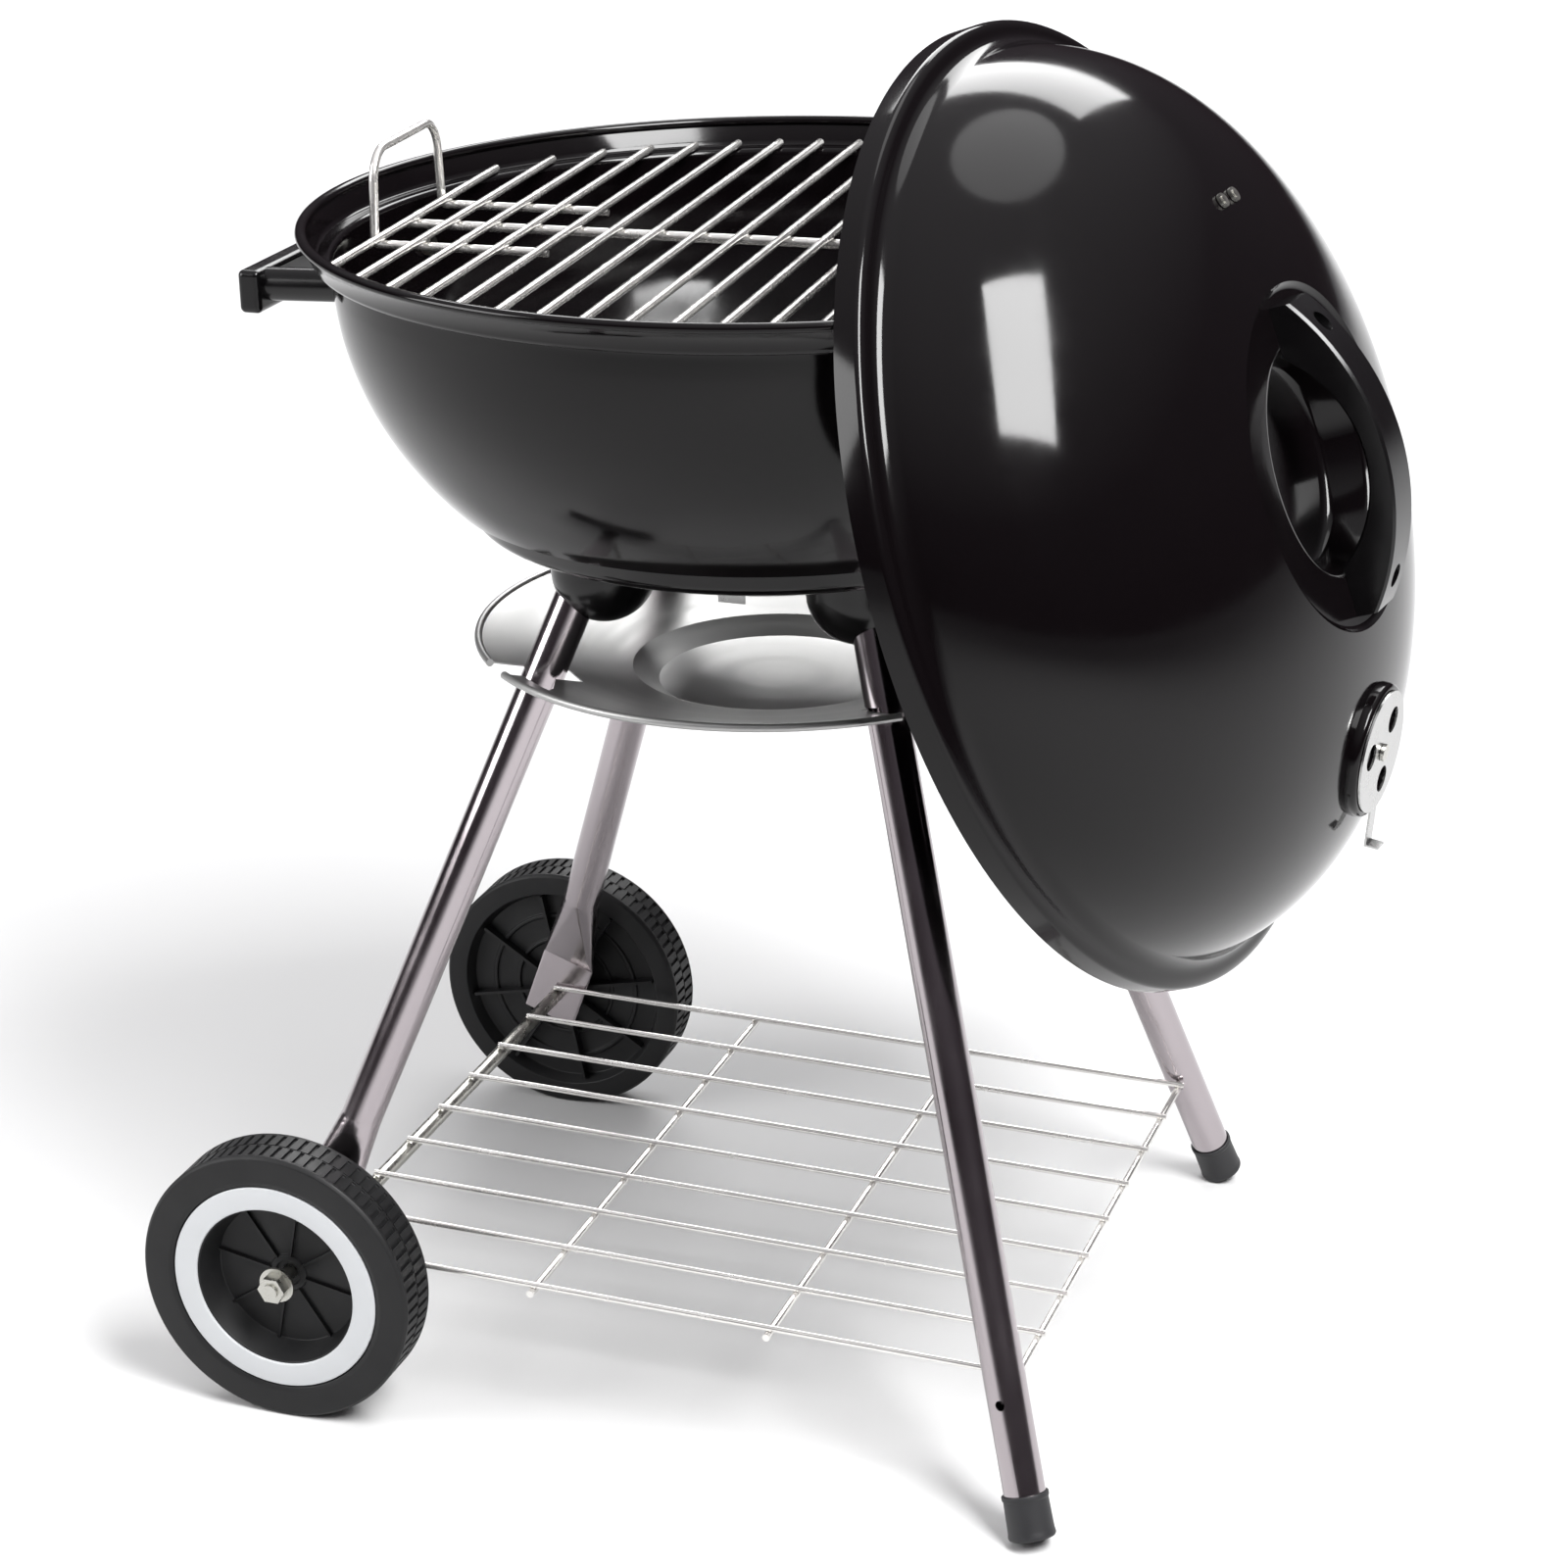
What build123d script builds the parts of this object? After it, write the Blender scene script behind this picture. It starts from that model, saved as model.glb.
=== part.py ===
from build123d import *
import math
import os

# Kettle charcoal grill, millimetres.  The model is laid out round the bowl's vertical axis with
# the ground at z = 0, +X towards the two fixed feet, -X towards the wheels and -Y at the front.
# At the end everything is moved so that the origin lies at the bottom centre of the whole.

# ---- driving dimensions ----
RIM_RADIUS = 230.0          # outside of the bowl's rolled rim
RIM_Z = 599.6               # height of the rolled rim's centre
SHEET = 1.2                 # enamelled steel sheet of bowl and lid
BODY_RADIUS = 213.3         # bowl wall just under the grate ledge
BODY_Z = 580.0              # centre height of the wall's ellipse
BODY_DROP = 177.0           # vertical half axis of the wall's ellipse
STEP_RADIUS = 155.5         # small ledge that carries the charcoal grate
STEP_Z = 465.0
BOTTOM_Z = 430.0
BOTTOM_RADIUS = 86.0
LEDGE_TOP_Z = 587.1         # ledge that carries the cooking grate

LID_RADIUS = 235.4          # outside of the lid's skirt
LID_SKIRT = 12.0
DOME_RADIUS = 227.1
DOME_BASE = -20.7           # dome's superellipse: base plane, height and exponent
DOME_HEIGHT = 148.8
DOME_POWER = 2.31
SEAT_RADIUS = 83.0          # pressed round seat under the lid handle
SEAT_Z = 119.8
CUP_RADIUS = 52.5
CUP_DEPTH = 22.0

LID_HANG_U = 175.3          # lid hung on the rim: its skirt centre, out from the bowl axis
LID_HANG_Z = 470.5
LID_HANG_TILT = 18.8        # dome axis above the horizontal
LID_HANG_TURN = -7.6        # round the bowl, from +X

LEG_RADIUS = 10.5
LEG_WALL = 1.2
LEG_TOP_Z = 427.0
FOOT_LEG_TOP = (67.2, 62.9)     # leg axes where z = 450
FOOT_LEG_SPLAY = (0.291, 0.310)
WHEEL_LEG_TOP = (65.7, 65.9)
WHEEL_LEG_SPLAY = (0.372, 0.276)
SPLAY_Z = 450.0
FLAT_Y = 169.6              # flattened end of a wheel leg: middle and thickness
FLAT_THICK = 3.2

CAP_RADIUS = 11.9
CAP_HEIGHT = 22.0

WHEEL_RADIUS = 74.6
WHEEL_WIDTH = 29.0
WHEEL_FACE_Y = 204.8
AXLE_X = -205.3
AXLE_RADIUS = 4.0
AXLE_CLEARANCE = 0.08

PAN_RADIUS = 153.2
PAN_RIM_Z = 387.1
PAN_SHEET = 0.8
PAN_SEAT_Z = 380.0          # where the pan crosses the legs
PAN_DISH = ((59.8, 359.1), (73.2, 366.8))    # pressed dish: floor edge and brim

SHELF_END_X = 177.3
SHELF_END_Z = 69.0
SHELF_PITCH = 41.5
SHELF_WIRES = 9

GRATE_Z = 589.6
GRATE_RADIUS = 216.0
GRATE_BARS = 18
GRATE_PITCH = 21.6
GRATE_TURN = 3.4            # how far the cooking grate lies turned in the bowl
GRATE_BAR_RADIUS = 2.1
LOOP_X = 188.4
LOOP_HALF = 46.0
LOOP_HEIGHT = 45.0

COAL_RADIUS = 160.0
COAL_BARS = 13
COAL_PITCH = 22.0

NODES = {}


# ---- helpers ----
def keep(name, shape):
    """Put a finished piece on the list of nodes, made when it was asked for."""
    shape.label = name
    NODES[name] = shape
    return shape


def group(solids):
    """Separate solids that belong to one node."""
    return Compound([solid for piece in solids for solid in piece.solids()])


def turned(points):
    """Solid of revolution about Z from a closed outline of radius and height pairs."""
    outline = Polyline(*[(r, 0, z) for r, z in points], close=True)
    return revolve(make_face(outline), axis=Axis.Z)


def turned_edges(edges):
    """Solid of revolution about Z from edges in the XZ plane that close on themselves."""
    return revolve(make_face(Curve() + edges), axis=Axis.Z)


def rod(start, end, radius):
    """Round bar from one point to another."""
    start = Vector(*start)
    end = Vector(*end)
    plane = Plane(origin=start, z_dir=end - start)
    length = (end - start).length
    return plane * Cylinder(radius, length, align=(Align.CENTER, Align.CENTER, Align.MIN))


def bent_wire(points, radius, bend):
    """Wire of round section along straight runs with rounded corners."""
    path = FilletPolyline(*points, radius=bend)
    section = Plane(origin=path @ 0, z_dir=path % 0) * Circle(radius)
    return sweep(section, path=path)


def hex_prism(across_flats, height):
    """Hexagonal prism that stands on the XY plane."""
    return extrude(RegularPolygon(across_flats / 2, 6, major_radius=False), height)


def ring(outer, inner, height):
    """Flat ring that stands on the XY plane."""
    return extrude(Circle(outer) - Circle(inner), height)


def foot_leg_point(side, z):
    """Axis of a fixed leg at a height; side is +1 at the back and -1 at the front."""
    drop = SPLAY_Z - z
    x = FOOT_LEG_TOP[0] + FOOT_LEG_SPLAY[0] * drop
    y = side * (FOOT_LEG_TOP[1] + FOOT_LEG_SPLAY[1] * drop)
    return Vector(x, y, z)


def wheel_leg_point(side, z):
    """Axis of a wheel leg at a height; side is +1 at the back and -1 at the front."""
    drop = SPLAY_Z - z
    x = -(WHEEL_LEG_TOP[0] + WHEEL_LEG_SPLAY[0] * drop)
    y = side * (WHEEL_LEG_TOP[1] + WHEEL_LEG_SPLAY[1] * drop)
    return Vector(x, y, z)


# ---- bowl ----
def wall_radius(z, inset):
    """Radius of the bowl wall's ellipse at a height, moved in by an inset."""
    rise = (BODY_Z - z) / (BODY_DROP - inset)
    return (BODY_RADIUS - inset) * math.sqrt(1 - rise * rise)


def bowl_envelope(inset):
    """Solid inside the bowl's outer surface (inset 0) or inner surface (inset SHEET)."""
    t = inset
    ledge_in = (STEP_RADIUS - t, 0, STEP_Z + t)
    wall_low = (wall_radius(STEP_Z + t, t), 0, STEP_Z + t)
    wall_top = (wall_radius(574.0, t), 0, 574.0)
    low_points = [(0, 0, BOTTOM_Z + t), (BOTTOM_RADIUS, 0, BOTTOM_Z + t), (150.0 - t, 0, 452.0 + t),
                  ledge_in, wall_low]
    wall_heights = [STEP_Z + t + (574.0 - STEP_Z - t) * k / 8 for k in range(9)]
    wall = Spline(*[(wall_radius(z, t), 0, z) for z in wall_heights])
    ledge_z = LEDGE_TOP_Z - SHEET + t
    top_points = [wall_top, (213.2 - t, 0, ledge_z - 2.6), (215.0 - t, 0, ledge_z), (221.6 - t, 0, ledge_z),
                  (223.2 - t, 0, ledge_z + 2.0), (226.2 - t, 0, RIM_Z), (0, 0, RIM_Z), low_points[0]]
    return turned_edges([Polyline(*low_points), wall, Polyline(*top_points)])


def bowl_holes():
    """Cutters for the bottom vents, the damper rivet and the side handle bolts."""
    holes = [Pos(0, 0, BOTTOM_Z) * Cylinder(2.6, 12)]
    for k in range(3):
        holes.append(Rot(0, 0, 120 * k + 30) * Pos(28, 0, BOTTOM_Z) * Cylinder(9.0, 12))
    for side in (-1, 1):
        holes.append(rod((-190, side * 45, 560), (-230, side * 45, 560), 3.2))
    return holes


def make_bowl():
    """Pressed bowl with a rolled rim, a ledge for each grate and a vented bottom."""
    shell = bowl_envelope(0) - bowl_envelope(SHEET)
    bead = revolve(Plane.XZ * Pos(RIM_RADIUS - 3.0, RIM_Z) * Ellipse(3.0, 2.5), axis=Axis.Z)
    shell = shell + bead
    for hole in bowl_holes() + leg_bolt_holes():
        shell = shell - hole
    keep("bowl", shell)


def make_bowl_damper():
    """Turning vent disc under the bowl, with its tab, and the rivet it turns on."""
    top = BOTTOM_Z - 0.35
    disc = Pos(0, 0, top - 1.2) * ring(43.0, 3.1, 1.2)
    for k in range(3):
        disc = disc - Rot(0, 0, 120 * k + 30) * Pos(28, 0, top) * Cylinder(9.0, 12)
    tab = Pos(49, 0, top - 0.6) * Box(26, 14, 1.2)
    turned_down = Pos(61.4, 0, top - 6.0) * Box(1.2, 14, 12)
    disc = Rot(0, 0, -90) * (disc + tab + turned_down)
    keep("bowl_damper", disc)
    head = Pos(0, 0, BOTTOM_Z - 4.2) * Cylinder(6.0, 2.2, align=(Align.CENTER, Align.CENTER, Align.MIN))
    shank = Pos(0, 0, BOTTOM_Z - 2.0) * Cylinder(2.55, 5.2, align=(Align.CENTER, Align.CENTER, Align.MIN))
    inner_head = Pos(0, 0, BOTTOM_Z + SHEET) * Cylinder(5.0, 2.0, align=(Align.CENTER, Align.CENTER, Align.MIN))
    keep("bowl_damper_rivet", head + shank + inner_head)


def make_side_handle():
    """Grip bar on two posts at the wheel side, with its two bolts and nuts inside the bowl."""
    bar = fillet(Box(12, 116, 22).edges(), 3.0)
    handle = Pos(-257, 0, 556) * bar
    for side in (-1, 1):
        post = rod((-253, side * 45, 558), (-205, side * 45, 560), 8.5)
        handle = handle + (post - bowl_envelope(-0.02))
        handle = handle - rod((-200, side * 45, 560), (-240, side * 45, 560), 2.6)
    keep("side_handle", handle)
    bolts = []
    for side in (-1, 1):
        inner = -wall_radius(560, SHEET)
        face = inner * math.cos(math.asin(45 / -inner))
        shank = rod((-232, side * 45, 560), (face + 2, side * 45, 560), 2.5)
        head = rod((face - 3, side * 45, 560), (face + 4, side * 45, 560), 5.0)
        bolts.append(shank + (head & bowl_envelope(SHEET + 0.02)))
    keep("side_handle_bolts", group(bolts))


# ---- grates ----
def make_cooking_grate():
    """Parallel bars welded on one cross wire."""
    bars = []
    for k in range(GRATE_BARS):
        x = (k - (GRATE_BARS - 1) / 2) * GRATE_PITCH
        half = math.sqrt(GRATE_RADIUS ** 2 - x ** 2)
        bars.append(rod((x, -half, GRATE_Z), (x, half, GRATE_Z), GRATE_BAR_RADIUS))
    wire = rod((-LOOP_X - 3, 0, GRATE_Z - 4.4), (LOOP_X + 3, 0, GRATE_Z - 4.4), 2.4)
    keep("cooking_grate", Rot(0, 0, GRATE_TURN) * (Part() + [wire] + bars))


def make_grate_loops():
    """A wire loop handle at each end of the cooking grate."""
    low = GRATE_Z - 2 * GRATE_BAR_RADIUS - 0.35
    for name, sign in (("grate_handle_left", -1), ("grate_handle_right", 1)):
        start_x = sign * 98.0
        loop_x = sign * LOOP_X
        points = [(start_x, -LOOP_HALF, low), (loop_x, -LOOP_HALF, low), (loop_x, -LOOP_HALF + 4, low + LOOP_HEIGHT),
                  (loop_x, LOOP_HALF - 4, low + LOOP_HEIGHT), (loop_x, LOOP_HALF, low), (start_x, LOOP_HALF, low)]
        path = FilletPolyline(*points, radius=[3, 16, 16, 3])
        section = Plane(origin=path @ 0, z_dir=path % 0) * Circle(2.2)
        keep(name, Rot(0, 0, GRATE_TURN) * sweep(section, path=path))


def make_charcoal_grate():
    """Round wire grate on the bowl's lower ledge."""
    z = STEP_Z + SHEET + 2.6
    bars = []
    for k in range(COAL_BARS):
        y = (k - (COAL_BARS - 1) / 2) * COAL_PITCH
        half = math.sqrt(COAL_RADIUS ** 2 - y ** 2)
        bars.append(rod((-half, y, z), (half, y, z), 2.3))
    for x in (-60, 60):
        bars.append(rod((x, -135, z - 4.4), (x, 135, z - 4.4), 2.3))
    keep("charcoal_grate", Part() + bars)


# ---- legs and their fittings ----
LEGS = {
    "leg_foot_front": (foot_leg_point, -1),
    "leg_foot_rear": (foot_leg_point, 1),
    "leg_wheel_front": (wheel_leg_point, -1),
    "leg_wheel_rear": (wheel_leg_point, 1),
}


def leg_axis(name):
    """Unit vector down a leg."""
    point, side = LEGS[name]
    return (point(side, 100.0) - point(side, 400.0)).normalized()


def pan_notch_angle(name):
    """Direction of a leg from the bowl axis where it passes the ash pan, in degrees."""
    point, side = LEGS[name]
    spot = point(side, PAN_SEAT_Z)
    return math.degrees(math.atan2(spot.Y, spot.X))


def pan_slot(name):
    """Slot cut into one side of a leg, where the edge of the ash pan sits."""
    point, side = LEGS[name]
    spot = point(side, PAN_SEAT_Z)
    block = Rot(0, -14.6, 0) * Box(34, 8, 3.6)
    return Pos(spot) * Rot(0, 0, pan_notch_angle(name)) * Pos(0, -(LEG_RADIUS + 0.5), 0) * block


def make_foot_leg(name):
    """Straight tube with a hole for the shelf's end wire."""
    point, side = LEGS[name]
    top = point(side, LEG_TOP_Z)
    tilt = math.acos(-leg_axis(name).Z)
    low_centre = point(side, (CAP_RADIUS * math.sin(tilt)))
    end = low_centre - leg_axis(name) * 3.0
    tube = rod(top, end, LEG_RADIUS) - rod(top, end, LEG_RADIUS - LEG_WALL)
    tube = tube - pan_slot(name)
    tube = tube - rod((SHELF_END_X, side * 160, SHELF_END_Z), (SHELF_END_X, side * 205, SHELF_END_Z), 2.4)
    keep(name, tube)
    cap = rod(low_centre - leg_axis(name) * CAP_HEIGHT, low_centre, CAP_RADIUS)
    cap = cap - rod(low_centre - leg_axis(name) * (CAP_HEIGHT + 1), end, LEG_RADIUS)
    keep(name.replace("leg_foot", "foot_cap"), cap)


def make_wheel_leg(name):
    """Tube flattened at its lower end, with the axle hole through the flat."""
    point, side = LEGS[name]
    top = point(side, LEG_TOP_Z)
    axis = leg_axis(name)
    squeeze_start = point(side, 150.0)
    squeeze_end = point(side, 98.0)
    tube = rod(top, squeeze_start, LEG_RADIUS) - rod(top, squeeze_start, LEG_RADIUS - LEG_WALL)
    tube = tube - pan_slot(name)
    across = Vector(0, 1, 0)
    along = (axis - across * axis.dot(across)).normalized()
    wide = along.cross(across)
    start_plane = Plane(origin=squeeze_start, x_dir=wide, z_dir=axis)
    end_y = side * FLAT_Y
    end_point = Vector(squeeze_end.X, end_y, squeeze_end.Z)
    flat_plane = Plane(origin=end_point, x_dir=wide, z_dir=along)
    neck = loft([start_plane * SlotOverall(2 * LEG_RADIUS + 0.02, 2 * LEG_RADIUS), flat_plane * SlotOverall(33.0, FLAT_THICK)])
    hub = Vector(AXLE_X, end_y, WHEEL_RADIUS)
    length = (hub - end_point).length + 15.0
    plate = extrude(flat_plane * SlotOverall(33.0, FLAT_THICK), length)
    leg = tube + neck + plate
    leg = leg - rod((AXLE_X, end_y - 20, WHEEL_RADIUS), (AXLE_X, end_y + 20, WHEEL_RADIUS), AXLE_RADIUS + 0.15)
    keep(name, leg)


def make_leg_fittings():
    """Half-round socket, threaded plug and bolt at the top of each leg."""
    bolts = []
    plugs = []
    outside = bowl_envelope(-0.05)
    for name, (point, side) in LEGS.items():
        centre = point(side, SPLAY_Z)
        axis = leg_axis(name)
        top = point(side, LEG_TOP_Z)
        cup = Pos(centre.X, centre.Y, 431.0) * (Sphere(26.5) - Sphere(25.0))
        cup = cup + Pos(centre.X, centre.Y, 431.0) * ring(26.5, 25.0, 14.0)
        cup = cup - Pos(centre.X, centre.Y, 475.0) * Box(80, 80, 60) - outside
        cup = cup - rod(top - axis * 40, top + axis * 60, LEG_RADIUS + 0.1)
        cup = max(cup.solids(), key=lambda solid: solid.volume)
        keep(name.replace("leg", "leg_socket"), cup)
        plug = rod(top + axis * 1.0, top + axis * 19.0, LEG_RADIUS - LEG_WALL - 0.02)
        plugs.append(plug - rod(top, top + axis * 30, 3.05))
        surface = leg_crossing(name)
        head = rod(surface - axis * 4.6, surface + axis * 3.0, 5.5) & bowl_envelope(SHEET + 0.02)
        bolts.append(head + rod(surface - axis * 3.0, top + axis * 18.0, 2.95))
    keep("leg_bolts", group(bolts))
    keep("leg_plugs", group(plugs))


def leg_crossing(name):
    """Where a leg's axis meets the outside of the bowl's shallow lower cone."""
    point, side = LEGS[name]
    slope = (452.0 - BOTTOM_Z) / (150.0 - BOTTOM_RADIUS)
    z = BOTTOM_Z
    for _ in range(12):
        spot = point(side, z)
        z = BOTTOM_Z + (math.hypot(spot.X, spot.Y) - BOTTOM_RADIUS) * slope
    return point(side, z)


def leg_bolt_holes():
    """Cutters through the bowl for the four leg bolts."""
    holes = []
    for name, (point, side) in LEGS.items():
        top = point(side, LEG_TOP_Z)
        holes.append(rod(top - leg_axis(name) * 20, top, 3.3))
    return holes


# ---- ash pan ----
def make_ash_pan():
    """Shallow round pan with a pressed dish, a rolled rim and a bayonet notch at each leg."""
    (floor_r, floor_z), (brim_r, brim_z) = PAN_DISH
    t = PAN_SHEET
    edge = PAN_RADIUS - 2.2
    outline = [(0, floor_z), (floor_r, floor_z), (brim_r, brim_z), (edge, PAN_RIM_Z),
               (edge, PAN_RIM_Z - t), (brim_r + 0.4, brim_z - t), (floor_r + 0.4, floor_z - t), (0, floor_z - t)]
    pan = turned(outline)
    pan = pan + revolve(Plane.XZ * Pos(PAN_RADIUS - 2.0, PAN_RIM_Z - 0.6) * Circle(2.0), axis=Axis.Z)
    for name in LEGS:
        angle = pan_notch_angle(name)
        outline = [(109.5, -8), (109.5, 12.5), (124, 12.5), (132.5, 33), (136.5, 38), (138.5, 31), (141, 12.5),
                   (165, 12.5), (165, -8)]
        notch = extrude(make_face(Polyline(*outline, close=True)), 60)
        pan = pan - Rot(0, 0, angle) * Pos(0, 0, 350) * notch
    keep("ash_pan", pan)


# ---- bottom shelf ----
def make_bottom_shelf():
    """Welded wire shelf hooked over the axle, with its end wire through the foot legs."""
    wire = 1.6
    cross = 2.0
    hook = AXLE_RADIUS + 0.35 + wire
    end_z = SHELF_END_Z + cross + wire - 0.1
    wires = [rod((SHELF_END_X, -187, SHELF_END_Z), (SHELF_END_X, 187, SHELF_END_Z), cross)]
    axle_z = WHEEL_RADIUS
    slope = (axle_z + hook - end_z) / (SHELF_END_X + 4.0 - AXLE_X)
    half = SHELF_PITCH * (SHELF_WIRES - 1) / 2
    for k in range(SHELF_WIRES):
        y = -half + SHELF_PITCH * k
        tangent = math.atan(slope)
        touch = (AXLE_X + hook * math.sin(tangent), y, axle_z + hook * math.cos(tangent))
        wires.append(rod((SHELF_END_X + 4.0, y, end_z), touch, wire))
        curl = Plane(origin=(AXLE_X, y, axle_z), x_dir=(0, 0, 1), z_dir=(0, 1, 0))
        arc = CenterArc((0, 0), hook, math.degrees(tangent), -215)
        arc = curl * arc
        section = Plane(origin=arc @ 0, z_dir=arc % 0) * Circle(wire)
        wires.append(sweep(section, path=arc))
    for share in (1 / 3, 2 / 3):
        x = AXLE_X + (SHELF_END_X - AXLE_X) * share
        z = end_z + slope * (SHELF_END_X + 4.0 - x) - cross - wire + 0.1
        wires.append(rod((x, -half - 4, z), (x, half + 4, z), cross))
    shelf = wires[0]
    for piece in wires[1:]:
        shelf = shelf + piece
    keep("bottom_shelf", shelf)


# ---- wheels and axle ----
def make_wheel(name, side):
    """Moulded wheel with a thin web, and the flat ring let into its outer face."""
    bore = AXLE_RADIUS + AXLE_CLEARANCE
    width = WHEEL_WIDTH
    rim = WHEEL_RADIUS
    outline = [(bore, 19.0), (7.0, 19.0), (7.0, 17.0), (10.0, 17.0), (10.5, 18.0), (39.5, 18.0), (43.5, 2.0),
               (57.5, 2.0), (57.5, 0.8), (60.0, 0.0), (73.0, 0.0), (rim, 1.6), (rim, width - 1.6), (73.0, width),
               (62.0, width), (59.0, 21.3), (12.5, 21.3), (12.0, width - 0.8), (bore, width - 0.8)]
    place = Plane(origin=(AXLE_X, side * WHEEL_FACE_Y, rim), x_dir=(1, 0, 0), z_dir=(0, -side, 0))
    wheel = place * turned(outline)
    ribs = []
    for k in range(8):
        ribs.append(place * Rot(0, 0, 45 * k + 12) * Pos(25.0, 0, 17.5) * Box(31, 1.4, 3))
    for rib in ribs:
        wheel = wheel + rib
    keep(name, wheel)
    keep(name.replace("wheel", "wheel_ring"), place * Pos(0, 0, 0.8) * ring(57.0, 44.0, 1.2))


def make_axle():
    """Axle rod, spacers inside each wheel, and a washer and nut outside."""
    end = 209.5
    keep("axle", rod((AXLE_X, -end, WHEEL_RADIUS), (AXLE_X, end, WHEEL_RADIUS), AXLE_RADIUS))
    spacers = []
    washers = []
    nuts = []
    for side in (-1, 1):
        outward = Plane(origin=(AXLE_X, 0, WHEEL_RADIUS), x_dir=(1, 0, 0), z_dir=(0, side, 0))
        spacers.append(outward * Pos(0, 0, 171.85) * ring(7.5, AXLE_RADIUS + 0.02, 4.45))
        washers.append(outward * Pos(0, 0, 200.0) * ring(9.5, AXLE_RADIUS + 0.02, 1.5))
        nut = hex_prism(13.0, 6.5) - Cylinder(AXLE_RADIUS + 0.02, 20)
        nuts.append(outward * Pos(0, 0, 201.5) * nut)
    keep("wheel_spacers", group(spacers))
    keep("axle_washers", group(washers))
    keep("axle_nuts", group(nuts))


# ---- lid, in its own frame: skirt edge at z = 0, dome towards +Z, the hook towards +Y ----
def dome_point(angle, inset):
    """Point of the dome's superellipse, from the skirt (0 degrees) to the top (90)."""
    power = 2 / DOME_POWER
    r = (DOME_RADIUS - inset) * math.cos(math.radians(angle)) ** power
    z = DOME_BASE + (DOME_HEIGHT - inset) * math.sin(math.radians(angle)) ** power
    return r, z


def dome_angle_at_height(z, inset):
    """Angle at which the dome reaches a height."""
    share = (z - DOME_BASE) / (DOME_HEIGHT - inset)
    return math.degrees(math.asin(share ** (DOME_POWER / 2)))


def dome_angle_at_radius(r, inset):
    """Angle at which the dome reaches a radius."""
    return math.degrees(math.acos((r / (DOME_RADIUS - inset)) ** (DOME_POWER / 2)))


def lid_envelope(inset):
    """Solid inside the lid's outer surface (inset 0) or inner surface (inset SHEET)."""
    t = inset
    low = dome_angle_at_height(15.5, t)
    high = dome_angle_at_radius(SEAT_RADIUS + t, t)
    dome = Spline(*[(r, 0, z) for r, z in [dome_point(low + (high - low) * k / 9, t) for k in range(10)]])
    skirt = [(0, 0, 0), (LID_RADIUS - t, 0, 0), (LID_RADIUS - t, 0, LID_SKIRT - t), (LID_RADIUS - 2.2 - t, 0, 13.6 - t),
             (226.0 - t, 0, 14.2 - t), dome @ 0]
    top = [dome @ 1, (SEAT_RADIUS - 1.0, 0, SEAT_Z - t), (CUP_RADIUS + 3.0 + t, 0, SEAT_Z - t),
           (CUP_RADIUS - 3.0 + t, 0, SEAT_Z - CUP_DEPTH - t), (0, 0, SEAT_Z - CUP_DEPTH - t), (0, 0, 0)]
    return turned_edges([Polyline(*skirt), dome, Polyline(*top)])


PAD_RADIUS = 33.0
PAD_OUT = 143.0             # distance of the lid vent from the dome axis, towards -Y
PAD_RISE = 3.5


def pad_plane():
    """Plane of the lid vent's disc, square to the dome, with its x axis pointing down the dome."""
    angle = dome_angle_at_radius(PAD_OUT, 0)
    r0, z0 = dome_point(angle - 0.5, 0)
    r1, z1 = dome_point(angle + 0.5, 0)
    slope = Vector(0, -(r0 - r1), z0 - z1).normalized()
    normal = Vector(1, 0, 0).cross(slope)
    if normal.Z < 0:
        normal = normal * -1
    r, z = dome_point(angle, 0)
    return Plane(origin=Vector(0, -r, z) + normal * PAD_RISE, x_dir=slope, z_dir=normal)


def lid_place():
    """Plane that hangs the lid on the bowl's rim."""
    turn = math.radians(LID_HANG_TURN)
    tilt = math.radians(LID_HANG_TILT)
    out = Vector(math.cos(turn), math.sin(turn), 0)
    side = Vector(-math.sin(turn), math.cos(turn), 0)
    normal = out * math.cos(tilt) + Vector(0, 0, 1) * math.sin(tilt)
    return Plane(origin=out * LID_HANG_U + Vector(0, 0, LID_HANG_Z), x_dir=side, z_dir=normal)


def vent_holes(plane, depth):
    """Three round vent cutters through the lid's vent pad or its disc."""
    return [plane * Rot(0, 0, 120 * k + 20) * Pos(17, 0, 0) * Cylinder(6.5, depth) for k in range(3)]


def make_lid():
    """Domed lid with a skirt, a rolled edge, a seat and cup for the handle and a vent pad."""
    shell = lid_envelope(0) - lid_envelope(SHEET)
    shell = shell + revolve(Plane.XZ * Pos(LID_RADIUS - 0.9, 1.2) * Circle(1.2), axis=Axis.Z)
    pad = pad_plane() * Cylinder(PAD_RADIUS, 40, align=(Align.CENTER, Align.CENTER, Align.MAX))
    pad_inner = pad_plane() * Pos(0, 0, -SHEET) * Cylinder(
        PAD_RADIUS - SHEET, 60, align=(Align.CENTER, Align.CENTER, Align.MAX))
    shell = (shell - pad_inner) + (pad - pad_inner - lid_envelope(SHEET))
    for hole in vent_holes(pad_plane(), 12) + [pad_plane() * Cylinder(2.1, 12)]:
        shell = shell - hole
    for y in (-62, 62):
        shell = shell - Pos(0, y, SEAT_Z) * Cylinder(2.7, 12)
    shell = shell - rivet_shanks(2.1)
    keep("lid", lid_place() * shell)


def rivet_shanks(radius):
    """Two rivet shanks that hold the hook inside the dome."""
    plane = hook_plane()
    shanks = [plane * Pos(x, 0, -3.5) * Cylinder(radius, 14) for x in (-7, 7)]
    return shanks[0] + shanks[1]


HOOK_R = 127.0


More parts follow.
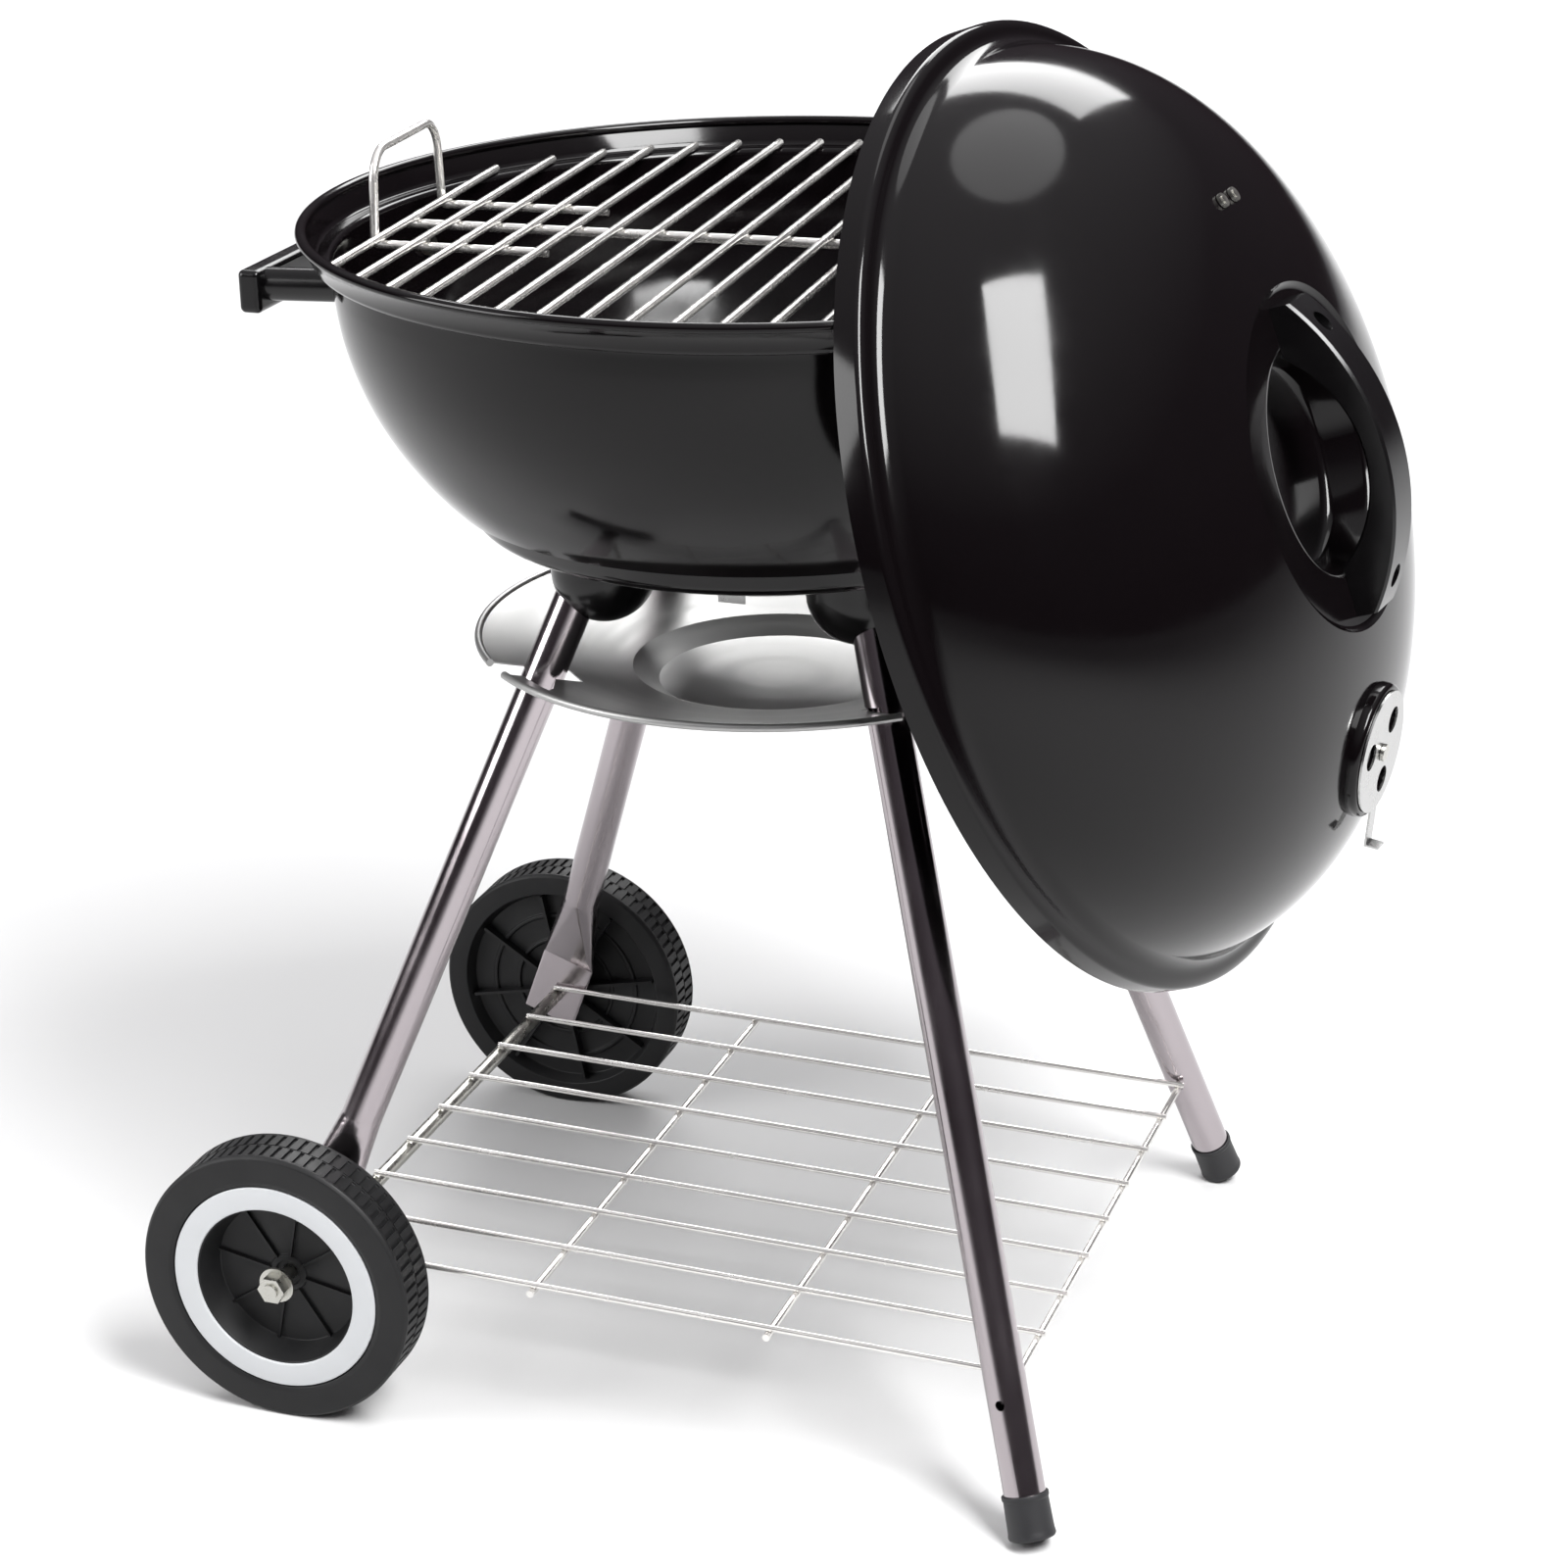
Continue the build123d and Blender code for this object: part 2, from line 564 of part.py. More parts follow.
def hook_plane():
    """Plane on the dome's inner surface where the hook is riveted; y points up the dome."""
    angle = dome_angle_at_radius(HOOK_R, SHEET)
    r0, z0 = dome_point(angle - 0.5, SHEET)
    r1, z1 = dome_point(angle + 0.5, SHEET)
    slope = Vector(0, r0 - r1, z0 - z1).normalized()
    normal = Vector(1, 0, 0).cross(slope)
    if normal.Z < 0:
        normal = normal * -1
    r, z = dome_point(angle, SHEET)
    return Plane(origin=Vector(0, r, z), x_dir=(1, 0, 0), z_dir=normal)


def make_lid_hook():
    """Bent steel strip inside the dome that hooks over the bowl's rim, and its two rivets."""
    place = lid_place()
    plane = hook_plane()
    plate_a = place.from_local_coords(plane.from_local_coords(Vector(0, 9, -1.15)))
    plate_b = place.from_local_coords(plane.from_local_coords(Vector(0, -9, -1.15)))
    out = Vector(math.cos(math.radians(LID_HANG_TURN)), math.sin(math.radians(LID_HANG_TURN)), 0)

    def at(u, z):
        return out * u + Vector(0, 0, z)

    plate_a = at(plate_a.dot(out), plate_a.Z)
    plate_b = at(plate_b.dot(out), plate_b.Z)
    path = FilletPolyline(plate_a, plate_b, at(233.0, 604.6), at(222.3, 604.6), at(222.3, 591.0), radius=1.6)
    wide = place.x_dir
    section = Plane(origin=path @ 0, x_dir=wide, z_dir=path % 0) * Rectangle(26, 1.5)
    hook = sweep(section, path=path)
    hook = hook - place * rivet_shanks(2.05)
    keep("lid_hook", hook)
    rivets = []
    for x in (-7, 7):
        shank = plane * Pos(x, 0, 0) * Cylinder(2.0, 7.2)
        outer = plane * Pos(x, 0, SHEET + 1.1) * Cylinder(3.6, 1.6)
        inner = plane * Pos(x, 0, -3.0) * Cylinder(3.6, 1.6)
        rivets.append(place * (shank + outer + inner))
    keep("lid_hook_rivets", group(rivets))


def make_lid_handle():
    """Broad moulded bow over the cup, with a screw and nut at each end."""
    place = lid_place()
    outer = ThreePointArc((0, -75, SEAT_Z + 10), (0, 0, SEAT_Z + 36), (0, 75, SEAT_Z + 10))
    inner = ThreePointArc((0, 50, SEAT_Z + 0.02), (0, 0, SEAT_Z + 25), (0, -50, SEAT_Z + 0.02))
    ends = [Polyline(outer @ 1, (0, 75, SEAT_Z + 0.02), inner @ 0),
            Polyline(inner @ 1, (0, -75, SEAT_Z + 0.02), outer @ 0)]
    bow = extrude(make_face(Curve() + [outer, ends[0], inner, ends[1]]), 12.5, both=True)
    bow = chamfer(bow.edges().filter_by(GeomType.CIRCLE), 1.2)
    for y in (-62, 62):
        bow = bow - Pos(0, y, SEAT_Z) * Cylinder(2.6, 60)
        bow = bow - Pos(0, y, SEAT_Z + 8) * Cylinder(5.0, 40, align=(Align.CENTER, Align.CENTER, Align.MIN))
    keep("lid_handle", place * bow)
    screws = []
    nuts = []
    for y in (-62, 62):
        shank = Pos(0, y, SEAT_Z - 8.5) * Cylinder(2.5, 17, align=(Align.CENTER, Align.CENTER, Align.MIN))
        head = Pos(0, y, SEAT_Z + 8.02) * Cylinder(4.6, 2.8, align=(Align.CENTER, Align.CENTER, Align.MIN))
        screws.append(place * (shank + head))
        nut = Pos(0, y, SEAT_Z - SHEET - 4.8) * (hex_prism(8.0, 4.0) - Cylinder(2.52, 20))
        nuts.append(place * nut)
    keep("lid_handle_screws", group(screws))
    keep("lid_handle_nuts", group(nuts))


def make_lid_damper():
    """Turning vent disc on the lid with its tab, and the rivet it turns on."""
    place = lid_place()
    plane = pad_plane()
    disc = plane * Pos(0, 0, 0.35) * ring(30.0, 2.6, 1.0)
    for hole in vent_holes(plane, 12):
        disc = disc - hole
    tab = plane * Pos(38.0, 0, 0.85) * Box(20, 9, 1.0)
    tip = plane * Pos(47.6, 0, 4.0) * Box(1.0, 9, 7.3)
    keep("lid_damper", place * (disc + tab + tip))
    head = plane * Pos(0, 0, 1.7) * Cylinder(4.2, 1.6, align=(Align.CENTER, Align.CENTER, Align.MIN))
    shank = plane * Pos(0, 0, -3.0) * Cylinder(2.05, 5.0, align=(Align.CENTER, Align.CENTER, Align.MIN))
    inner = plane * Pos(0, 0, -SHEET - 1.8) * Cylinder(4.0, 1.6, align=(Align.CENTER, Align.CENTER, Align.MIN))
    keep("lid_damper_rivet", place * (head + shank + inner))


# ---- assembly ----
def main():
    """Make every piece, move the whole so the origin is at its bottom centre, and write it."""
    make_bowl()
    make_bowl_damper()
    make_side_handle()
    make_cooking_grate()
    make_grate_loops()
    make_charcoal_grate()
    make_foot_leg("leg_foot_front")
    make_foot_leg("leg_foot_rear")
    make_wheel_leg("leg_wheel_front")
    make_wheel_leg("leg_wheel_rear")
    make_leg_fittings()
    make_ash_pan()
    make_bottom_shelf()
    make_wheel("wheel_front", -1)
    make_wheel("wheel_rear", 1)
    make_axle()
    make_lid()
    make_lid_handle()
    make_lid_hook()
    make_lid_damper()

    boxes = [shape.bounding_box() for shape in NODES.values()]
    shift_x = -(min(box.min.X for box in boxes) + max(box.max.X for box in boxes)) / 2
    shift_y = -(min(box.min.Y for box in boxes) + max(box.max.Y for box in boxes)) / 2
    shift_z = -min(box.min.Z for box in boxes)
    os.makedirs("parts", exist_ok=True)
    for name, shape in NODES.items():
        export_step(Pos(shift_x, shift_y, shift_z) * shape, f"parts/{name}.step")
    print("bowl axis from the origin:", round(shift_x, 3), round(shift_y, 3), round(shift_z, 3))
    vent = lid_place().from_local_coords(pad_plane().origin)
    vent_end = lid_place().from_local_coords(pad_plane().origin + pad_plane().z_dir)
    print("lid vent centre and axis:", vent + Vector(shift_x, shift_y, shift_z), vent_end - vent)
    print("whole:", round(max(b.max.X for b in boxes) - min(b.min.X for b in boxes), 1),
          round(max(b.max.Y for b in boxes) - min(b.min.Y for b in boxes), 1), round(max(b.max.Z for b in boxes), 1))


main()
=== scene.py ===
import logging
import math
from dataclasses import dataclass, field
from enum import Enum
from typing import Any, Mapping, Sequence

import bmesh
import bpy
import numpy as np
from mathutils import Matrix, Vector


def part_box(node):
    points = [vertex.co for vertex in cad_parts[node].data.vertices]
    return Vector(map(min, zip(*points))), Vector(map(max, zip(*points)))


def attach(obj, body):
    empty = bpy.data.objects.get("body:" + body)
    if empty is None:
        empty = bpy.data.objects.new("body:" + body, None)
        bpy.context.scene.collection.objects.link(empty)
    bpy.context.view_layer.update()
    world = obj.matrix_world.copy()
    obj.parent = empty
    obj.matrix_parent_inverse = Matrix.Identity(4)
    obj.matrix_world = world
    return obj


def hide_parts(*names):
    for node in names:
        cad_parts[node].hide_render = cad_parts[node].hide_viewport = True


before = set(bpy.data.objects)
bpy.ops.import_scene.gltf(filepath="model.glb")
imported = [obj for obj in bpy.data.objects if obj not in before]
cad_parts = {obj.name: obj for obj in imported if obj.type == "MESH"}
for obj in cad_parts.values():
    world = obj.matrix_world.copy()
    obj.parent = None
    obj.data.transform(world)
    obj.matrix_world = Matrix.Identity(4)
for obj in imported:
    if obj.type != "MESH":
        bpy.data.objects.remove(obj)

log = logging.getLogger("kettle_grill")
MM = 0.001
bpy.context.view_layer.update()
NODES: dict[str, bpy.types.Object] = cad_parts


class Slot(Enum):
    """The record's material slots."""

    ENAMEL = "black_enamel"
    CHROME = "chrome"
    WIRE = "plated_wire"
    PAN = "galvanised"
    POLISHED = "polished_sheet"
    ZINC = "zinc_steel"
    BLACK_PLASTIC = "black_plastic"
    GREY_PLASTIC = "grey_plastic"
    WHEEL_PLASTIC = "wheel_plastic"
    WHITE_PLASTIC = "white_plastic"


def linear(hex_colour: str) -> tuple[float, float, float, float]:
    """Turn an sRGB hex colour into linear values.

    Args:
        hex_colour: Six hex digits after a hash sign.

    Returns:
        Red, green, blue and an alpha of one.
    """
    shares = [int(hex_colour[i:i + 2], 16) / 255 for i in (1, 3, 5)]
    values = [s / 12.92 if s <= 0.04045 else ((s + 0.055) / 1.055) ** 2.4 for s in shares]
    return values[0], values[1], values[2], 1.0


def add_node(tree: bpy.types.NodeTree, kind: str, settings: Mapping[str, Any] | None = None,
             inputs: Mapping[str | int, Any] | None = None) -> bpy.types.Node:
    """Add a node with its settings, values and links.

    Args:
        tree: Tree that gets the node.
        kind: Blender's type name of the node.
        settings: Properties of the node.
        inputs: Input name or number to a value, or to the output socket that feeds it.

    Returns:
        The new node.
    """
    node = tree.nodes.new(kind)
    for name, value in (settings or {}).items():
        setattr(node, name, value)
    for key, value in (inputs or {}).items():
        if isinstance(value, bpy.types.NodeSocket):
            tree.links.new(value, node.inputs[key])
        else:
            node.inputs[key].default_value = value
    return node


# ---------------------------------------------------------------- finishes


@dataclass(frozen=True)
class Finish:
    """A surface with even colour, fine bumps and a roughness that wanders a little."""

    name: str
    colour: str
    roughness: float
    metallic: float = 0.0
    specular: float = 0.5
    grain_mm: float = 2.0
    bump_mm: float = 0.01
    wander: float = 0.06
    wander_mm: float = 60.0
    stretch: tuple[float, float, float] = (1.0, 1.0, 1.0)
    shade: float = 0.08

    def coordinates(self, tree: bpy.types.NodeTree) -> bpy.types.NodeSocket:
        """Return the pattern's coordinates, stretched along the way the part was made."""
        place = add_node(tree, "ShaderNodeTexCoord")
        mapping = add_node(tree, "ShaderNodeMapping", inputs={
            "Vector": place.outputs["Object"], "Scale": self.stretch})
        return mapping.outputs["Vector"]

    def build(self) -> bpy.types.Material:
        """Make the material.

        Returns:
            A node material named for this finish.
        """
        material = bpy.data.materials.new(self.name)
        material.use_nodes = True
        tree = material.node_tree
        shader = tree.nodes["Principled BSDF"]
        vector = self.coordinates(tree)
        broad = add_node(tree, "ShaderNodeTexNoise", inputs={
            "Vector": vector, "Scale": 1.0 / (self.wander_mm * MM), "Detail": 4.0, "Roughness": 0.6})
        fine = add_node(tree, "ShaderNodeTexNoise", inputs={
            "Vector": vector, "Scale": 1.0 / (self.grain_mm * MM), "Detail": 3.0})
        spread = add_node(tree, "ShaderNodeMapRange", inputs={
            "Value": broad.outputs["Fac"], "From Min": 0.3, "From Max": 0.7,
            "To Min": max(self.roughness - self.wander, 0.02), "To Max": self.roughness + self.wander})
        dark = tuple(c * (1 - self.shade) for c in linear(self.colour)[:3]) + (1.0,)
        light = tuple(min(c * (1 + self.shade), 1.0) for c in linear(self.colour)[:3]) + (1.0,)
        tint = add_node(tree, "ShaderNodeMix", {"data_type": "RGBA"}, {
            0: broad.outputs["Fac"], 6: dark, 7: light})
        bump = add_node(tree, "ShaderNodeBump", inputs={
            "Height": fine.outputs["Fac"], "Strength": 1.0, "Distance": self.bump_mm * MM})
        tree.links.new(tint.outputs[2], shader.inputs["Base Color"])
        tree.links.new(spread.outputs["Result"], shader.inputs["Roughness"])
        tree.links.new(bump.outputs["Normal"], shader.inputs["Normal"])
        shader.inputs["Metallic"].default_value = self.metallic
        if self.metallic < 0.5:
            shader.inputs["Specular IOR Level"].default_value = self.specular
        return material


@dataclass(frozen=True)
class RubbedSheet(Finish):
    """Sheet with faint rings round the axis where it was spun and rubbed."""

    centre: tuple[float, float, float] = (0.0, 0.0, 0.0)
    ring_mm: float = 1.6

    def coordinates(self, tree: bpy.types.NodeTree) -> bpy.types.NodeSocket:
        """Return coordinates of radius and height, so that the pattern runs in rings."""
        place = add_node(tree, "ShaderNodeTexCoord")
        moved = add_node(tree, "ShaderNodeVectorMath", {"operation": "SUBTRACT"}, {
            0: place.outputs["Object"], 1: self.centre})
        flat = add_node(tree, "ShaderNodeVectorMath", {"operation": "MULTIPLY"}, {
            0: moved.outputs["Vector"], 1: (1.0, 1.0, 0.0)})
        radius = add_node(tree, "ShaderNodeVectorMath", {"operation": "LENGTH"}, {0: flat.outputs["Vector"]})
        lengthways = add_node(tree, "ShaderNodeVectorMath", {"operation": "SCALE"}, {
            0: moved.outputs["Vector"], "Scale": 0.08})
        parts = add_node(tree, "ShaderNodeSeparateXYZ", inputs={0: lengthways.outputs["Vector"]})
        joined = add_node(tree, "ShaderNodeCombineXYZ", inputs={
            0: radius.outputs["Value"], 1: parts.outputs[0], 2: parts.outputs[1]})
        return joined.outputs["Vector"]


class Palette:
    """Every finish of the grill, made once."""

    def __init__(self, bowl_axis: Vector) -> None:
        """Make the materials.

        Args:
            bowl_axis: A point on the bowl's axis, for the rubbed rings of the ash pan.
        """
        axis = (bowl_axis.x, bowl_axis.y, 0.0)
        finishes = {
            # Glass frit fused on pressed steel: deep black, wet gloss, the faint waviness of orange peel.
            Slot.ENAMEL: Finish(
                "porcelain_enamel_black", "#070506", 0.10, specular=0.24, grain_mm=9.0, bump_mm=0.012,
                wander=0.03, wander_mm=40.0),
            # Bright plating drawn along a steel tube: mirror-like with fine lengthwise wander.
            Slot.CHROME: Finish(
                "chromium_plated_tube", "#a8a1a4", 0.16, metallic=1.0, grain_mm=3.0, bump_mm=0.006,
                wander=0.05, wander_mm=25.0, stretch=(1.0, 1.0, 0.12), shade=0.10),
            # Drawn wire with bright plating, slightly rough from the drawing.
            Slot.WIRE: Finish(
                "bright_plated_wire", "#e6e4e1", 0.24, metallic=0.85, grain_mm=1.5, bump_mm=0.01,
                wander=0.06, wander_mm=18.0),
            # Pressed sheet with a dull zinc surface and rings from spinning.
            Slot.PAN: RubbedSheet(
                "galvanised_pressed_sheet", "#a3a3a2", 0.40, metallic=0.8, grain_mm=1.4, bump_mm=0.012,
                wander=0.10, wander_mm=16.0, shade=0.12, centre=axis),
            # Stamped disc, buffed.
            Slot.POLISHED: Finish(
                "buffed_stamped_aluminium", "#b4b4b3", 0.24, metallic=1.0, grain_mm=1.2, bump_mm=0.008,
                wander=0.06, wander_mm=10.0),
            # Bright zinc passivation on turned and rolled fasteners.
            Slot.ZINC: Finish(
                "zinc_plated_fasteners", "#b9b8b2", 0.30, metallic=1.0, grain_mm=1.0, bump_mm=0.012,
                wander=0.08, wander_mm=6.0),
            # Glass-filled phenolic from a polished mould: black and glossy.
            Slot.BLACK_PLASTIC: Finish(
                "moulded_phenolic_black", "#0a090a", 0.20, specular=0.34, grain_mm=0.9, bump_mm=0.006,
                wander=0.05, wander_mm=30.0),
            # Polypropylene from a spark-eroded mould: fine matt texture.
            Slot.GREY_PLASTIC: Finish(
                "moulded_polypropylene_charcoal", "#1f1f21", 0.50, specular=0.4, grain_mm=0.8,
                bump_mm=0.03, wander=0.06, wander_mm=20.0),
            Slot.WHEEL_PLASTIC: Finish(
                "moulded_polyethylene_wheel", "#121213", 0.50, specular=0.32, grain_mm=0.9, bump_mm=0.03,
                wander=0.08, wander_mm=25.0),
            Slot.WHITE_PLASTIC: Finish(
                "moulded_white_trim", "#b9bbbd", 0.38, grain_mm=1.0, bump_mm=0.006, wander=0.05,
                wander_mm=20.0, shade=0.02),
        }
        self.made = {slot: finish.build() for slot, finish in finishes.items()}

    def dress(self, piece: bpy.types.Object, slot: Slot) -> None:
        """Give a piece or a kept CAD node the finish of a slot."""
        piece.data.materials.clear()
        piece.data.materials.append(self.made[slot])


# ---------------------------------------------------------------- mesh helpers


def finished(name: str, mesh: bpy.types.Mesh, sharp_deg: float = 35.0) -> bpy.types.Object:
    """Link a mesh as an object at the origin with smooth faces and sharp corners kept.

    Args:
        name: Piece name.
        mesh: Its mesh, in place.
        sharp_deg: Edges that turn more than this stay sharp.

    Returns:
        The linked object.
    """
    mesh.polygons.foreach_set("use_smooth", [True] * len(mesh.polygons))
    mesh.set_sharp_from_angle(angle=math.radians(sharp_deg))
    piece = bpy.data.objects.new(name, mesh)
    bpy.context.scene.collection.objects.link(piece)
    return piece


def lathe_mesh(name: str, outline: Sequence[tuple[float, float]], place: Matrix,
               steps: int = 144) -> bpy.types.Mesh:
    """Turn a closed outline round its axis.

    Args:
        name: Mesh name.
        outline: Closed loop of radius and height in millimetres; points on the axis have radius zero.
        place: Where the axis (local Z) lies, in metres.
        steps: Faces round the axis.

    Returns:
        A closed mesh with its faces outwards.
    """
    grid = bmesh.new()
    rings: list[list[bmesh.types.BMVert]] = []
    for radius, height in outline:
        count = 1 if radius < 1e-6 else steps
        turns = [2 * math.pi * k / steps for k in range(count)]
        ring = [grid.verts.new((radius * MM * math.cos(turn), radius * MM * math.sin(turn), height * MM))
                for turn in turns]
        rings.append(ring)
    for ring, following in zip(rings, rings[1:] + rings[:1]):
        for k in range(steps):
            corners = [ring[k % len(ring)], ring[(k + 1) % len(ring)],
                       following[(k + 1) % len(following)], following[k % len(following)]]
            unique = list(dict.fromkeys(corners))
            if len(unique) > 2:
                grid.faces.new(unique)
    bmesh.ops.recalc_face_normals(grid, faces=grid.faces)
    grid.transform(place)
    mesh = bpy.data.meshes.new(name)
    grid.to_mesh(mesh)
    grid.free()
    return mesh


def rounded(points: Sequence[tuple[float, float]], radius: float, steps: int = 5,
            closed: bool = True) -> list[tuple[float, float]]:
    """Round the corners of an outline.

    Args:
        points: Outline corners in millimetres.
        radius: Corner radius, made smaller where the sides are short.
        steps: Points in each corner.
        closed: Whether the last corner joins the first.

    Returns:
        The outline with each corner as a short curve.
    """
    result: list[tuple[float, float]] = []
    count = len(points)
    for i, corner in enumerate(points):
        here = Vector(corner)
        if not closed and i in (0, count - 1):
            result.append(corner)
            continue
        before = Vector(points[i - 1]) - here
        after = Vector(points[(i + 1) % count]) - here
        if here.x < 1e-6 or min(before.length, after.length) < 1e-6:
            result.append(corner)
            continue
        reach = min(radius, before.length * 0.45, after.length * 0.45)
        start = here + before.normalized() * reach
        end = here + after.normalized() * reach
        for k in range(steps + 1):
            t = k / steps
            spot = start * (1 - t) ** 2 + here * 2 * t * (1 - t) + end * t * t
            result.append((spot.x, spot.y))
    return result


def cut_away(piece: bpy.types.Object, cutters: Sequence[bpy.types.Mesh]) -> bpy.types.Object:
    """Cut closed meshes out of a piece.

    Args:
        piece: The piece, which is replaced.
        cutters: Closed cutter meshes.

    Returns:
        A new object of the same name with the cuts in its mesh.
    """
    helpers = []
    for number, mesh in enumerate(cutters):
        helper = bpy.data.objects.new(f"cutter_{number}", mesh)
        bpy.context.scene.collection.objects.link(helper)
        modifier = piece.modifiers.new(f"cut_{number}", "BOOLEAN")
        modifier.operation = "DIFFERENCE"
        modifier.solver = "EXACT"
        modifier.object = helper
        helpers.append(helper)
    bpy.context.view_layer.update()
    evaluated = piece.evaluated_get(bpy.context.evaluated_depsgraph_get())
    mesh = bpy.data.meshes.new_from_object(evaluated)
    name = piece.name
    for unused in [piece, *helpers]:
        bpy.data.objects.remove(unused)
    return finished(name, mesh)


def drill(radius: float, place: Matrix, depth: float = 30.0) -> bpy.types.Mesh:
    """Return a round cutter along local Z, centred on a place; sizes in millimetres."""
    half = depth / 2
    return lathe_mesh("drill", [(0, -half), (radius, -half), (radius, half), (0, half)], place, 32)


def tree_result(name: str, tree: bpy.types.NodeTree, values: Mapping[str, Any],
                place: Matrix) -> bpy.types.Mesh:
    """Run a Geometry Nodes tree and keep its result as a plain mesh.

    Args:
        name: Mesh name.
        tree: The node tree, whose first input is geometry.
        values: Input name to value.
        place: Where the result lies.

    Returns:
        The plain mesh, in place.
    """
    host = bpy.data.objects.new(name, bpy.data.meshes.new(name))
    bpy.context.scene.collection.objects.link(host)
    modifier = host.modifiers.new("rule", "NODES")
    modifier.node_group = tree
    for item in tree.interface.items_tree:
        if item.item_type == "SOCKET" and item.in_out == "INPUT" and item.name in values:
            modifier[item.identifier] = values[item.name]
    bpy.context.view_layer.update()
    mesh = bpy.data.meshes.new_from_object(host.evaluated_get(bpy.context.evaluated_depsgraph_get()))
    bpy.data.objects.remove(host)
    mesh.transform(place)
    return mesh


def new_tree(name: str, inputs: Mapping[str, str]) -> tuple[bpy.types.NodeTree, bpy.types.Node]:
    """Start a Geometry Nodes tree.

    Args:
        name: Name of the tree.
        inputs: Input name to socket type.

    Returns:
        The tree and its input node.
    """
    tree = bpy.data.node_groups.new(name, "GeometryNodeTree")
    tree.interface.new_socket("Geometry", in_out="INPUT", socket_type="NodeSocketGeometry")
    for label, kind in inputs.items():
        tree.interface.new_socket(label, in_out="INPUT", socket_type=kind)
    tree.interface.new_socket("Geometry", in_out="OUTPUT", socket_type="NodeSocketGeometry")
    return tree, add_node(tree, "NodeGroupInput")


def end_tree(tree: bpy.types.NodeTree, shape: bpy.types.NodeSocket, finish: bpy.types.NodeSocket) -> None:
    """End a tree with Realize Instances and Set Material."""
    real = add_node(tree, "GeometryNodeRealizeInstances", inputs={"Geometry": shape})
    dressed = add_node(tree, "GeometryNodeSetMaterial", inputs={
        "Geometry": real.outputs[0], "Material": finish})
    add_node(tree, "NodeGroupOutput", inputs={0: dressed.outputs[0]})


def join(name: str, meshes: Sequence[bpy.types.Mesh], sharp_deg: float = 35.0) -> bpy.types.Object:
    """Put several meshes into one piece."""
    grid = bmesh.new()
    for mesh in meshes:
        grid.from_mesh(mesh)
    joined = bpy.data.meshes.new(name)
    grid.to_mesh(joined)
    grid.free()
    return finished(name, joined, sharp_deg)


@dataclass
class Builder:
    """What every sub-assembly needs: the finishes and a way to hand its pieces over."""

    palette: Palette

    def hand_over(self, piece: bpy.types.Object, body: str, slot: Slot, replaced: Sequence[str] = ()) -> None:
        """Dress a piece, put it on its body and hide the CAD nodes it stands for.

        Args:
            piece: The finished object.
            body: CAD body it rides on.
            slot: Material slot it takes its finish from.
            replaced: CAD nodes it stands for.
        """
        self.palette.dress(piece, slot)
        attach(piece, body)
        if replaced:
            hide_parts(*replaced)
        log.info("%s: %d faces on %s", piece.name, len(piece.data.polygons), body)

    def keep(self, node: str, slot: Slot) -> None:
        """Keep a CAD node and give it its finish."""
        self.palette.dress(NODES[node], slot)
        log.info("%s: kept as drawn", node)


def centre_of(node: str) -> Vector:
    """Return the middle of a CAD node's box."""
    low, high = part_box(node)
    return (low + high) / 2


# ---------------------------------------------------------------- bowl


